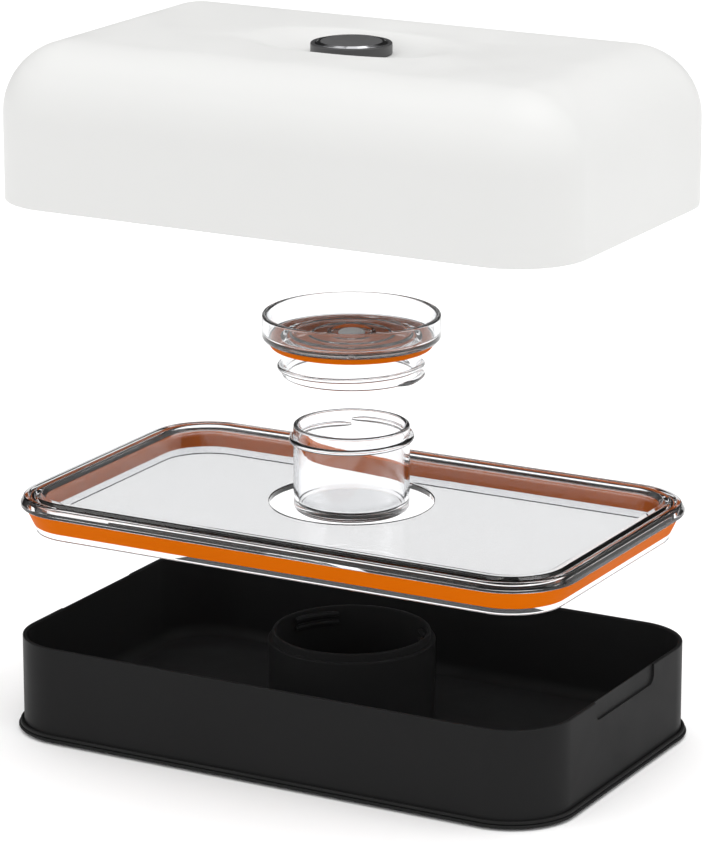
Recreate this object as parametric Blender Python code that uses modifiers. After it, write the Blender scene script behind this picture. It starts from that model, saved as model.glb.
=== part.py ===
"""Vacuum food box: tray with a threaded well, inner lid, jar, screw cap and a cover with a pump button.

Every height below is given for the closed box, in millimetres above the table.
Each group's empty then lifts it by its LIFT value to the spread-out rest pose.
"""
import math

import bmesh
import bpy

MM = 0.001                    # Blender's unit is the metre
GAP = 0.3                     # clearance between pieces that touch

# How far each group hangs above its closed place in the rest pose
LID_LIFT = 63.7
JAR_LIFT = 109.0
CAP_LIFT = 143.2
COVER_LIFT = 260.8

# Base tray: flange outline, wall, floor
FLANGE_LENGTH, FLANGE_WIDTH, FLANGE_CORNER = 300.5, 183.0, 33.8
FLANGE_TOP, FLANGE_ROUND = 2.6, 0.5
WALL_INSET = 2.75             # from the flange's edge to the wall's outer face
WALL = 2.2
TRAY_BOTTOM = 0.8
FLOOR_TOP = 3.8
TRAY_RIM = 48.0
FLOOR_FILLET = 6.0
RIM_ROUND = 0.4
GRIP_WIDTH, GRIP_HEIGHT, GRIP_DEPTH, GRIP_CORNER = 64.0, 9.5, 1.1, 4.5

# Seal ring on the flange and the feet under the tray
SEAL_TOP, SEAL_ROUND = 4.4, 0.5
SEAL_EDGE_INSET = 0.8
FOOT_RADIUS, FOOT_TOP = 8.0, 1.5
FOOT_X, FOOT_Y = 118.0, 62.0
CORNER_SIGNS = ((1, 1), (-1, 1), (-1, -1), (1, -1))

# Well tube in the middle of the tray
TUBE_RADIUS, BORE_RADIUS = 40.9, 37.0
LIP_RADIUS, SHOULDER, LIP_TOP = 38.6, 47.3, 51.2
SPIGOT_HEIGHT = 1.5

# Quick thread between the cap's neck and the well: angles in degrees about +Z
PITCH = 5.2
THREAD_TURN = 45.0            # from the open slots to locked
RIDGE_START, RIDGE_START_HEIGHT = 173.0, 40.6
RIDGES = ((-20.0, 30.0), (53.0, 126.0), (173.0, 390.0))
LUGS = ((33.0, 50.0), (129.0, 170.0))
RIDGE_BEAD, RIDGE_CENTRE = 1.3, 34.5
LUG_BEAD, LUG_CENTRE = 1.4, 36.0
LUG_ABOVE_RIDGE = 2.65
LUG_SPACING = 4.2

# Inner lid: flange outline, plate, raised rim, skirt, hole
LID_LENGTH, LID_WIDTH, LID_CORNER = 296.0, 178.0, 33.5
LID_FLANGE_BOTTOM, LID_PLATE_BOTTOM, LID_PLATE_TOP = 49.8, 50.4, 53.4
# Raised rim as (inset, height): from the plate over the inner bead, the groove and the outer bead to the edge
LID_RIM = ((12.2, 53.4), (11.5, 54.6), (10.4, 55.5), (8.6, 55.7), (6.7, 55.3), (5.4, 54.3), (3.7, 55.0),
           (2.0, 54.7), (1.0, 53.4), (0.2, 52.2), (0.0, 51.6))
SKIRT_BOTTOM, SKIRT_INSET, SKIRT_WALL, SKIRT_ROUND = 37.0, 7.1, 2.0, 1.0
HOLE_RADIUS, HOLE_EDGE = 39.85, 0.3
GASKET_BOTTOM, GASKET_TOP_INSET, GASKET_BOTTOM_INSET = 40.7, 2.3, 6.3

# Jar
JAR_RADIUS, JAR_WALL, JAR_FLOOR = 28.15, 2.4, 3.4
JAR_TOP = 46.4
JAR_THREAD_HEIGHT, JAR_THREAD_PITCH, JAR_THREAD_START = 38.4, 2.6, 119.0
JAR_FOOT_FILLET, JAR_BORE_FILLET = 2.8, 2.2
JAR_THREAD_BEAD, JAR_THREAD_CENTRE = 1.4, 28.9

# Screw cap: cup, floor, neck, gasket, membrane, valve
CUP_RADIUS, CUP_WALL, CUP_TOP = 42.9, 2.7, 67.2
CUP_FOOT_FILLET, CUP_BORE_FILLET, NECK_ROUND = 1.8, 1.5, 1.2
CUP_BOTTOM, CAP_FLOOR_TOP = 54.7, 56.9
NECK_RADIUS, NECK_WALL, NECK_BOTTOM = 33.7, 2.4, 37.0
VALVE_RING_RADIUS, VALVE_RING_TOP = 11.5, 58.9
FLOOR_RING_RADIUS, FLOOR_RING_TOP = 29.5, 58.1
RING_SLOPE = 0.3
VALVE_HOLE, VALVE_RADIUS, VALVE_THICK, VALVE_BULB = 2.0, 7.0, 1.5, 2.6
MEMBRANE_RADIUS, MEMBRANE_THICK = 30.9, 0.8
# Cap gasket as (radius, height): a lip over the inner lid's hole, then a plug that goes into it
CAP_GASKET = ((40.75, 54.4), (40.75, 53.75), (39.45, 53.4), (39.0, 51.5))

# Cover shell and the shallow dish round its button
COVER_LENGTH, COVER_WIDTH, COVER_CORNER = 303.0, 184.6, 35.0
COVER_WALL, COVER_TOP, COVER_FILLET = 2.4, 80.5, 34.5
DISH_LENGTH, DISH_WIDTH, DISH_SQUARENESS = 112.0, 63.0, 2.6
SEAT_RADIUS, DISH_DEPTH = 21.0, 5.5
COVER_HOLE, COVER_EDGE = 18.05, 0.4
DISH_STEPS = 6

# Button and pump under the cover
BEZEL_RADIUS, BEZEL_TOP, BEZEL_BORE, BEZEL_EDGE = 19.35, 80.4, 17.15, 0.5
SLEEVE_RADIUS, SLEEVE_BORE, SLEEVE_STEP = 17.75, 15.2, 76.2
SLEEVE_BOTTOM, SLEEVE_FLOOR = 67.8, 69.2
BUTTON_RADIUS, BUTTON_BOTTOM, BUTTON_TOP = 16.85, 79.1, 81.6
FACE_RADIUS = 14.7
# Domed face as (radius, depth below its middle)
FACE_DOME = ((0.0, 0.0), (5.0, 0.05), (10.0, 0.2), (14.4, 0.4), (14.7, 0.7))
RIM_FLAT, RIM_FLAT_DEPTH, RIM_EDGE_DEPTH = 0.6, 0.4, 1.3
CARRIER_RADIUS, CARRIER_BOTTOM, STEM_RADIUS = 14.9, 77.2, 3.0
WASHER_RADIUS, WASHER_THICK = 22.5, 0.8
NUT_CORNER_RADIUS, NUT_THICK = 24.5, 2.1
HOUSING_RADIUS, HOUSING_BORE, HOUSING_BOTTOM, HOUSING_FLOOR = 21.0, 14.6, 60.4, 62.0
HOUSING_PORT, HOUSING_EDGE = 1.5, 0.8
PISTON_RADIUS, PISTON_BOTTOM, PISTON_TOP = 13.0, 65.3, 67.3
PISTON_SEAL_RADIUS = 14.3
FLAP_RADIUS, FLAP_THICK = 3.2, 0.5
NOZZLE_INNER, NOZZLE_OUTER, NOZZLE_THICK = 9.0, 12.0, 0.9
SPRING_RADIUS, SPRING_WIRE, SPRING_TURNS = 8.0, 0.45, 4

# Facets
CORNER_STEPS = 8              # per rounded corner of an outline
TURN_STEPS = 40               # round the jar, the cap and the well
PUMP_STEPS = 32               # round the button and the pump
SMALL_STEPS = 20              # round a foot, a valve or a stem


def clear_scene():
    for old in list(bpy.data.objects):
        bpy.data.objects.remove(old, do_unlink=True)


def make_collection(name):
    collection = bpy.data.collections.new(name)
    bpy.context.scene.collection.children.link(collection)
    return collection


def make_material(name, color, roughness, metallic=0.0, alpha=1.0):
    material = bpy.data.materials.new(name)
    material.use_nodes = True
    shader = material.node_tree.nodes["Principled BSDF"]
    shader.inputs["Base Color"].default_value = (*color, 1.0)
    shader.inputs["Roughness"].default_value = roughness
    shader.inputs["Metallic"].default_value = metallic
    shader.inputs["Alpha"].default_value = alpha
    return material


def make_group(name, height, parent=None):
    """An empty on the stack's axis, height millimetres above its parent, that carries one moving body."""
    group = bpy.data.objects.new(name, None)
    group.location = (0.0, 0.0, height * MM)
    group.parent = parent
    PARTS.objects.link(group)
    return group


def make_object(name, mesh, material=None, group=None, collection=None):
    piece = bpy.data.objects.new(name, mesh)
    piece.parent = group
    if material:
        mesh.materials.append(material)
    (collection or PARTS).objects.link(piece)
    return piece


def hide_cutter(cutter):
    cutter.hide_render = True
    cutter.display_type = 'WIRE'
    return cutter


def combine(piece, other, operation):
    boolean = piece.modifiers.new(f"{operation.title()} {other.name}", 'BOOLEAN')
    boolean.operation = operation
    boolean.solver = 'EXACT'
    boolean.object = other


def arc(centre_r, centre_z, radius, start, end, steps):
    """Profile points on an arc, its angles in degrees from +X towards +Z."""
    points = []
    for step in range(steps + 1):
        angle = math.radians(start + (end - start) * step / steps)
        points.append((centre_r + radius * math.cos(angle), centre_z + radius * math.sin(angle)))
    return points


def turned(name, profile, material=None, group=None, collection=None, ring=False, steps=TURN_STEPS):
    """Turn a profile of (radius, height) about Z; ring joins its ends, otherwise both lie on the axis."""
    mesh = bpy.data.meshes.new(name)
    count = len(profile)
    edges = [(index, index + 1) for index in range(count - 1)]
    if ring:
        edges.append((count - 1, 0))
    mesh.from_pydata([(radius * MM, 0.0, height * MM) for radius, height in profile], edges, [])
    piece = make_object(name, mesh, material, group, collection)
    screw = piece.modifiers.new("Turn", 'SCREW')
    screw.axis = 'Z'
    screw.angle = math.tau
    screw.steps = steps
    screw.render_steps = steps
    screw.use_merge_vertices = True
    screw.merge_threshold = 0.00001
    screw.use_smooth_shade = False
    return piece


def ring_profile(inner, outer, bottom, top, edge=0.0):
    """A square section whose outer side runs down, with small chamfers on its outer edges."""
    if edge == 0.0:
        return [(outer, top), (outer, bottom), (inner, bottom), (inner, top)]
    return [(outer - edge, top), (outer, top - edge), (outer, bottom + edge), (outer - edge, bottom),
            (inner, bottom), (inner, top)]


def rounded_loop(length, width, corner, inset, height):
    """A rectangle with round corners, moved in by inset all round."""
    radius = corner - inset
    points = []
    for quarter, (side_x, side_y) in enumerate(CORNER_SIGNS):
        centre_x = side_x * (length / 2 - corner)
        centre_y = side_y * (width / 2 - corner)
        for step in range(CORNER_STEPS + 1):
            angle = math.radians(90.0 * (quarter + step / CORNER_STEPS))
            x = centre_x + radius * math.cos(angle)
            y = centre_y + radius * math.sin(angle)
            points.append((x * MM, y * MM, height * MM))
    return points


def round_loop(radius, height):
    """A circle with as many points as a rounded rectangle, so that the two can be joined."""
    count = 4 * (CORNER_STEPS + 1)
    points = []
    for step in range(count):
        angle = math.tau * (step + 0.5) / count
        points.append((radius * math.cos(angle) * MM, radius * math.sin(angle) * MM, height * MM))
    return points


def dish_loop(part, height):
    """A loop between the dish's long rounded outline (part 0) and the button's round seat (part 1)."""
    count = 4 * (CORNER_STEPS + 1)
    points = []
    for step in range(count):
        angle = math.tau * (step + 0.5) / count
        across, along = math.cos(angle), math.sin(angle)
        reach = (abs(2 * across / DISH_LENGTH) ** DISH_SQUARENESS
                 + abs(2 * along / DISH_WIDTH) ** DISH_SQUARENESS) ** (-1 / DISH_SQUARENESS)
        radius = reach + (SEAT_RADIUS - reach) * part
        points.append((radius * across * MM, radius * along * MM, height * MM))
    return points


def lofted(name, loops, material, group=None, ring=True):
    """Join each loop to the next, in order up the outer face; ring joins last to first, else both are capped."""
    mesh_data = bmesh.new()
    outlines = [[mesh_data.verts.new(point) for point in points] for points in loops]
    following = outlines[1:] + outlines[:1] if ring else outlines[1:]
    for outline, next_outline in zip(outlines, following):
        for index in range(len(outline)):
            mesh_data.faces.new((outline[index - 1], outline[index],
                                 next_outline[index], next_outline[index - 1]))
    if not ring:
        mesh_data.faces.new(reversed(outlines[0]))
        mesh_data.faces.new(outlines[-1])
    mesh = bpy.data.meshes.new(name)
    mesh_data.to_mesh(mesh)
    mesh_data.free()
    return make_object(name, mesh, material, group)


def tray_loop(inset, height):
    return rounded_loop(FLANGE_LENGTH, FLANGE_WIDTH, FLANGE_CORNER, inset, height)


def lid_loop(inset, height):
    return rounded_loop(LID_LENGTH, LID_WIDTH, LID_CORNER, inset, height)


def cover_loop(inset, height):
    return rounded_loop(COVER_LENGTH, COVER_WIDTH, COVER_CORNER, inset, height)


def helix_points(radius, pitch, height, start, end, step=8.0):
    count = max(3, round((end - start) / step))
    points = []
    for index in range(count + 1):
        degrees = start + (end - start) * index / count
        angle = math.radians(degrees)
        points.append((radius * math.cos(angle) * MM, radius * math.sin(angle) * MM,
                       (height + pitch * (degrees - start) / 360.0) * MM))
    return points


def wire(name, points, thickness, end_radius=1.0):
    """A curve object through the points, with round section and filled ends."""
    curve = bpy.data.curves.new(name, 'CURVE')
    curve.dimensions = '3D'
    curve.bevel_depth = thickness * MM
    curve.bevel_resolution = 2
    curve.use_fill_caps = True
    spline = curve.splines.new('POLY')
    spline.points.add(len(points) - 1)
    for place, point in zip(spline.points, points):
        place.co = (*point, 1.0)
    spline.points[0].radius = end_radius
    spline.points[-1].radius = end_radius
    return bpy.data.objects.new(name, curve)


def thread_bead(name, points, thickness, group=None):
    """A closed mesh bead along the points, kept with the cutters, for joining to a wall."""
    curve_object = wire(name + "_path", points, thickness, end_radius=0.45)
    CUTTERS.objects.link(curve_object)
    bpy.context.view_layer.update()
    evaluated = curve_object.evaluated_get(bpy.context.evaluated_depsgraph_get())
    mesh = bpy.data.meshes.new_from_object(evaluated)
    mesh.name = name
    matrix = curve_object.matrix_world.copy()
    bpy.data.objects.remove(curve_object, do_unlink=True)
    mesh_data = bmesh.new()
    mesh_data.from_mesh(mesh)
    bmesh.ops.remove_doubles(mesh_data, verts=mesh_data.verts, dist=0.000001)
    bmesh.ops.recalc_face_normals(mesh_data, faces=mesh_data.faces)
    mesh_data.to_mesh(mesh)
    mesh_data.free()
    bead = make_object(name, mesh, group=group, collection=CUTTERS)
    bead.matrix_basis = matrix
    return hide_cutter(bead)


def move_to(piece, name, collection):
    """Name a new primitive and keep it in one collection only."""
    piece.name = name
    for old in list(piece.users_collection):
        old.objects.unlink(piece)
    collection.objects.link(piece)


def box_cutter(name, centre, size):
    bpy.ops.mesh.primitive_cube_add(size=1.0, location=[value * MM for value in centre])
    cutter = bpy.context.object
    cutter.scale = [value * MM for value in size]
    bpy.ops.object.transform_apply(location=False, rotation=False, scale=True)
    move_to(cutter, name, CUTTERS)
    return hide_cutter(cutter)


def build_tray(material):
    inner = WALL_INSET + WALL
    loops = [tray_loop(1.2, TRAY_BOTTOM), tray_loop(0.0, 1.6), tray_loop(0.0, FLANGE_TOP - FLANGE_ROUND),
             tray_loop(FLANGE_ROUND, FLANGE_TOP), tray_loop(WALL_INSET, FLANGE_TOP),
             tray_loop(WALL_INSET, TRAY_RIM - RIM_ROUND), tray_loop(WALL_INSET + RIM_ROUND, TRAY_RIM),
             tray_loop(inner - RIM_ROUND, TRAY_RIM), tray_loop(inner, TRAY_RIM - RIM_ROUND)]
    for step in range(4):
        angle = math.radians(30.0 * step)
        loops.append(tray_loop(inner + FLOOR_FILLET * (1 - math.cos(angle)),
                               FLOOR_TOP + FLOOR_FILLET * (1 - math.sin(angle))))
    tray = lofted("base_tray", loops, material, ring=False)
    spigot_outer = BORE_RADIUS - GAP
    spigot = turned("spigot_join", ring_profile(spigot_outer - WALL, spigot_outer, FLOOR_TOP - 0.2,
                                                FLOOR_TOP + SPIGOT_HEIGHT), collection=CUTTERS, ring=True)
    combine(tray, hide_cutter(spigot), 'UNION')
    for side, name in ((1, "grip_cut_right"), (-1, "grip_cut_left")):
        wall_face = FLANGE_LENGTH / 2 - WALL_INSET
        cutter = box_cutter(name, (side * (wall_face - GRIP_DEPTH + 5.0), 0.0, TRAY_RIM + 0.5),
                            (10.0, GRIP_WIDTH, 2 * GRIP_HEIGHT + 1.0))
        soften = cutter.modifiers.new("Corners", 'BEVEL')
        soften.width = GRIP_CORNER * MM
        soften.segments = 3
        soften.limit_method = 'WEIGHT'
        weight = cutter.data.attributes.new("bevel_weight_edge", 'FLOAT', 'EDGE')
        for edge in cutter.data.edges:
            first, second = (cutter.data.vertices[index].co for index in edge.vertices)
            weight.data[edge.index].value = float(abs(first.x - second.x) > 0.001)
        combine(tray, cutter, 'DIFFERENCE')
    for index, (side_x, side_y) in enumerate(CORNER_SIGNS, start=1):
        recess = turned(f"foot_recess_{index}", [(0.0, FOOT_TOP + GAP), (FOOT_RADIUS + GAP, FOOT_TOP + GAP),
                                                 (FOOT_RADIUS + GAP, -1.0), (0.0, -1.0)],
                        collection=CUTTERS, steps=SMALL_STEPS)
        recess.location = (side_x * FOOT_X * MM, side_y * FOOT_Y * MM, 0.0)
        combine(tray, hide_cutter(recess), 'DIFFERENCE')


def build_seal_and_feet(material):
    inset_in = WALL_INSET - GAP
    shoulder = SEAL_TOP - SEAL_ROUND
    lofted("base_seal_ring", [tray_loop(SEAL_EDGE_INSET, FLANGE_TOP + GAP), tray_loop(SEAL_EDGE_INSET, shoulder),
                              tray_loop(SEAL_EDGE_INSET + SEAL_ROUND, SEAL_TOP),
                              tray_loop(inset_in - SEAL_ROUND, SEAL_TOP), tray_loop(inset_in, shoulder),
                              tray_loop(inset_in, FLANGE_TOP + GAP)], material)
    for index, (side_x, side_y) in enumerate(CORNER_SIGNS, start=1):
        foot = turned(f"base_foot_{index}", [(0.0, FOOT_TOP), (FOOT_RADIUS, FOOT_TOP), (FOOT_RADIUS, 0.4),
                                             (FOOT_RADIUS - 0.4, 0.0), (0.0, 0.0)],
                      material, steps=SMALL_STEPS)
        foot.location = (side_x * FOOT_X * MM, side_y * FOOT_Y * MM, 0.0)


def build_well_tube(material):
    edge = 0.3
    tube = turned("well_tube", [(LIP_RADIUS - edge, LIP_TOP), (LIP_RADIUS, LIP_TOP - edge),
                                (LIP_RADIUS, SHOULDER),
                                (TUBE_RADIUS - edge, SHOULDER), (TUBE_RADIUS, SHOULDER - edge),
                                (TUBE_RADIUS, FLOOR_TOP + GAP), (BORE_RADIUS, FLOOR_TOP + GAP),
                                (BORE_RADIUS, LIP_TOP - edge), (BORE_RADIUS + edge, LIP_TOP)],
                  material, ring=True)
    for number, (start, end) in enumerate(LUGS, start=1):
        turned_start = start + THREAD_TURN - RIDGE_START
        lower = RIDGE_START_HEIGHT + PITCH * turned_start / 360.0 + LUG_ABOVE_RIDGE
        for level in range(2):
            points = helix_points(LUG_CENTRE, PITCH, lower + level * LUG_SPACING, start, end)
            combine(tube, thread_bead(f"lug_join_{number}_{level + 1}", points, LUG_BEAD), 'UNION')


def build_inner_lid(material, gasket_material, group):
    skirt_in = SKIRT_INSET + SKIRT_WALL
    edge = 0.4
    low = SKIRT_BOTTOM + SKIRT_ROUND
    loops = [round_loop(HOLE_RADIUS, LID_PLATE_TOP - HOLE_EDGE),
             round_loop(HOLE_RADIUS + HOLE_EDGE, LID_PLATE_TOP)]
    loops += [lid_loop(inset, height) for inset, height in LID_RIM]
    loops += [lid_loop(0.0, LID_FLANGE_BOTTOM + edge), lid_loop(edge, LID_FLANGE_BOTTOM),
              lid_loop(SKIRT_INSET, LID_FLANGE_BOTTOM), lid_loop(SKIRT_INSET, low),
              lid_loop(SKIRT_INSET + edge, SKIRT_BOTTOM + edge / 2),
              lid_loop(SKIRT_INSET + SKIRT_ROUND, SKIRT_BOTTOM),
              lid_loop(skirt_in - edge, SKIRT_BOTTOM + edge / 2), lid_loop(skirt_in, low),
              lid_loop(skirt_in, LID_PLATE_BOTTOM), round_loop(HOLE_RADIUS, LID_PLATE_BOTTOM)]
    lofted("inner_lid", loops[::-1], material, group)
    top = LID_FLANGE_BOTTOM - GAP
    inner = SKIRT_INSET - GAP
    lofted("lid_gasket", [lid_loop(GASKET_BOTTOM_INSET, GASKET_BOTTOM), lid_loop(GASKET_TOP_INSET, top - 0.3),
                          lid_loop(GASKET_TOP_INSET + 0.3, top), lid_loop(inner, top),
                          lid_loop(inner, GASKET_BOTTOM)], gasket_material, group)


def build_jar(material, group):
    bottom = FLOOR_TOP + GAP
    floor = bottom + JAR_FLOOR
    bore = JAR_RADIUS - JAR_WALL
    rim = JAR_WALL / 2
    profile = ([(0.0, floor)] + arc(bore - JAR_BORE_FILLET, floor + JAR_BORE_FILLET, JAR_BORE_FILLET, -90, 0, 4)
               + arc(bore + rim, JAR_TOP - rim, rim, 180, 0, 6)
               + arc(JAR_RADIUS - JAR_FOOT_FILLET, bottom + JAR_FOOT_FILLET, JAR_FOOT_FILLET, 0, -90, 5)
               + [(0.0, bottom)])
    jar = turned("jar", profile, material, group)
    points = helix_points(JAR_THREAD_CENTRE, JAR_THREAD_PITCH, JAR_THREAD_HEIGHT,
                          JAR_THREAD_START, JAR_THREAD_START + 360.0, step=10.0)
    combine(jar, thread_bead("jar_thread_join", points, JAR_THREAD_BEAD, group), 'UNION')


def build_cap(material, gasket_material, seal_group, cap_group):
    rim = CUP_WALL / 2
    cup_bore = CUP_RADIUS - CUP_WALL
    neck_bore = NECK_RADIUS - NECK_WALL
    edge = 0.6
    profile = (arc(CUP_RADIUS - rim, CUP_TOP - rim, rim, 90, 0, 3)
               + arc(CUP_RADIUS - CUP_FOOT_FILLET, CUP_BOTTOM + CUP_FOOT_FILLET, CUP_FOOT_FILLET, 0, -75, 4)
               + [(CUP_RADIUS - CUP_FOOT_FILLET, CUP_BOTTOM), (NECK_RADIUS, CUP_BOTTOM)]
               + arc(NECK_RADIUS - NECK_ROUND, NECK_BOTTOM + NECK_ROUND, NECK_ROUND, 0, -90, 3)
               + [(neck_bore + edge, NECK_BOTTOM), (neck_bore, NECK_BOTTOM + edge), (neck_bore, CUP_BOTTOM),
                  (VALVE_HOLE, CUP_BOTTOM), (VALVE_HOLE, CAP_FLOOR_TOP)])
    for radius, top, width in ((VALVE_RING_RADIUS, VALVE_RING_TOP, 1.5),
                               (FLOOR_RING_RADIUS, FLOOR_RING_TOP, 2.5)):
        profile += [(radius - width, CAP_FLOOR_TOP), (radius - width + RING_SLOPE, top - 0.2),
                    (radius - width + 0.5, top), (radius - 0.5, top),
                    (radius - RING_SLOPE, top - 0.2), (radius, CAP_FLOOR_TOP)]
    profile += arc(cup_bore - CUP_BORE_FILLET, CAP_FLOOR_TOP + CUP_BORE_FILLET, CUP_BORE_FILLET, -90, 0, 3)
    profile += arc(CUP_RADIUS - rim, CUP_TOP - rim, rim, 180, 120, 2)
    cap = turned("cap_body", profile, material, cap_group, ring=True)
    for number, (start, end) in enumerate(RIDGES, start=1):
        height = RIDGE_START_HEIGHT + PITCH * (start - RIDGE_START) / 360.0
        points = helix_points(RIDGE_CENTRE, PITCH, height, start, end, step=9.0)
        combine(cap, thread_bead(f"ridge_join_{number}", points, RIDGE_BEAD, cap_group), 'UNION')
    inner = NECK_RADIUS + GAP
    turned("cap_gasket", list(CAP_GASKET) + [(inner, CAP_GASKET[-1][1]), (inner, CAP_GASKET[0][1])],
           gasket_material, seal_group, ring=True)


def build_valve(membrane_material, valve_material, group):
    """Membrane under the cap's floor, and the check valve whose stem goes through both."""
    membrane_top = CUP_BOTTOM - GAP
    membrane_bottom = membrane_top - MEMBRANE_THICK
    turned("cap_membrane", ring_profile(VALVE_HOLE, MEMBRANE_RADIUS, membrane_bottom, membrane_top),
           membrane_material, group, ring=True)
    seat = CAP_FLOOR_TOP + GAP
    stem = VALVE_HOLE - GAP
    bulb = membrane_bottom - GAP
    turned("cap_valve", [(0.0, seat + VALVE_THICK), (VALVE_RADIUS - 2.5, seat + VALVE_THICK - 0.2),
                         (VALVE_RADIUS - 0.6, seat + VALVE_THICK - 0.7), (VALVE_RADIUS, seat + 0.3),
                         (VALVE_RADIUS, seat), (stem, seat), (stem, bulb), (VALVE_BULB, bulb - 0.2),
                         (VALVE_BULB, bulb - 0.6), (stem - 0.5, bulb - 1.8), (0.0, bulb - 1.8)],
           valve_material, group, steps=SMALL_STEPS)


def build_cover(material, group):
    bottom = SEAL_TOP + GAP
    spring = COVER_TOP - COVER_FILLET

    def fillet(offset):
        """Insets and heights up the rounded edge, offset inwards from the outer face."""
        radius = COVER_FILLET - offset
        angles = [math.radians(90.0 * step / CORNER_STEPS) for step in range(CORNER_STEPS + 1)]
        return [(offset + radius * (1 - math.cos(angle)), spring + radius * math.sin(angle))
                for angle in angles]

    def dish(offset):
        """Loops from the dish's edge in to the button's seat."""
        places = []
        for step in range(DISH_STEPS + 1):
            part = step / DISH_STEPS
            depth = DISH_DEPTH * part * part * (3 - 2 * part)
            places.append(dish_loop(part, COVER_TOP - offset - depth))
        return places

    seat = COVER_TOP - DISH_DEPTH
    loops = [cover_loop(COVER_WALL, bottom), cover_loop(COVER_EDGE, bottom), cover_loop(0.0, bottom + COVER_EDGE)]
    loops += [cover_loop(inset, height) for inset, height in fillet(0.0)]
    loops += dish(0.0) + [round_loop(COVER_HOLE, seat), round_loop(COVER_HOLE, seat - COVER_WALL)]
    loops += dish(COVER_WALL)[::-1]
    loops += [cover_loop(inset, height) for inset, height in reversed(fillet(COVER_WALL))]
    lofted("cover_shell", loops, material, group)


def build_bezel(material, rubber, group):
    seat = COVER_TOP - DISH_DEPTH
    guide = STEM_RADIUS + GAP
    lip = 0.3
    turned("knob_bezel", arc(BEZEL_RADIUS - BEZEL_EDGE, BEZEL_TOP - BEZEL_EDGE, BEZEL_EDGE, 90, 0, 2)
           + [(BEZEL_RADIUS, seat + GAP), (SLEEVE_RADIUS, seat + GAP), (SLEEVE_RADIUS, SLEEVE_BOTTOM),
              (guide, SLEEVE_BOTTOM), (guide, SLEEVE_FLOOR), (SLEEVE_BORE, SLEEVE_FLOOR),
              (SLEEVE_BORE, SLEEVE_STEP), (BEZEL_BORE, SLEEVE_STEP), (BEZEL_BORE, BEZEL_TOP - lip),
              (BEZEL_BORE + lip, BEZEL_TOP)], material, group, ring=True, steps=PUMP_STEPS)
    washer_top = seat - COVER_WALL - GAP
    turned("bezel_washer", ring_profile(COVER_HOLE, WASHER_RADIUS, washer_top - WASHER_THICK, washer_top),
           rubber, group, ring=True, steps=PUMP_STEPS)
    nut_top = washer_top - WASHER_THICK - GAP
    bpy.ops.mesh.primitive_cylinder_add(vertices=6, radius=NUT_CORNER_RADIUS * MM, depth=NUT_THICK * MM)
    nut = bpy.context.object
    move_to(nut, "bezel_nut", PARTS)
    nut.location = (0.0, 0.0, (nut_top - NUT_THICK / 2) * MM)
    nut.parent = group
    nut.data.materials.append(material)
    bore = turned("nut_bore_cut", [(0.0, nut_top + 2.0), (COVER_HOLE, nut_top + 2.0),
                                   (COVER_HOLE, nut_top - NUT_THICK - 2.0), (0.0, nut_top - NUT_THICK - 2.0)],
                  group=group, collection=CUTTERS, steps=PUMP_STEPS)
    combine(nut, hide_cutter(bore), 'DIFFERENCE')


def build_pump(housing_material, rubber, silicone, group):
    top = SLEEVE_BOTTOM + 1.0
    turned("pump_housing", [(HOUSING_RADIUS - HOUSING_EDGE / 2, top), (HOUSING_RADIUS, top - HOUSING_EDGE / 2),
                            (HOUSING_RADIUS, HOUSING_BOTTOM + HOUSING_EDGE),
                            (HOUSING_RADIUS - HOUSING_EDGE, HOUSING_BOTTOM),
                            (HOUSING_PORT, HOUSING_BOTTOM), (HOUSING_PORT, HOUSING_FLOOR),
                            (HOUSING_BORE, HOUSING_FLOOR), (HOUSING_BORE, SLEEVE_BOTTOM - GAP),
                            (COVER_HOLE, SLEEVE_BOTTOM - GAP), (COVER_HOLE, top)],
           housing_material, group, ring=True, steps=PUMP_STEPS)
    flap_bottom = HOUSING_FLOOR + GAP
    turned("valve_flap", [(0.0, flap_bottom + FLAP_THICK), (FLAP_RADIUS, flap_bottom + FLAP_THICK),
                          (FLAP_RADIUS, flap_bottom), (0.0, flap_bottom)],
           silicone, group, steps=SMALL_STEPS)
    nozzle_top = HOUSING_BOTTOM - GAP
    turned("nozzle_seal", ring_profile(NOZZLE_INNER, NOZZLE_OUTER, nozzle_top - NOZZLE_THICK, nozzle_top),
           rubber, group, ring=True, steps=SMALL_STEPS)


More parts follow.
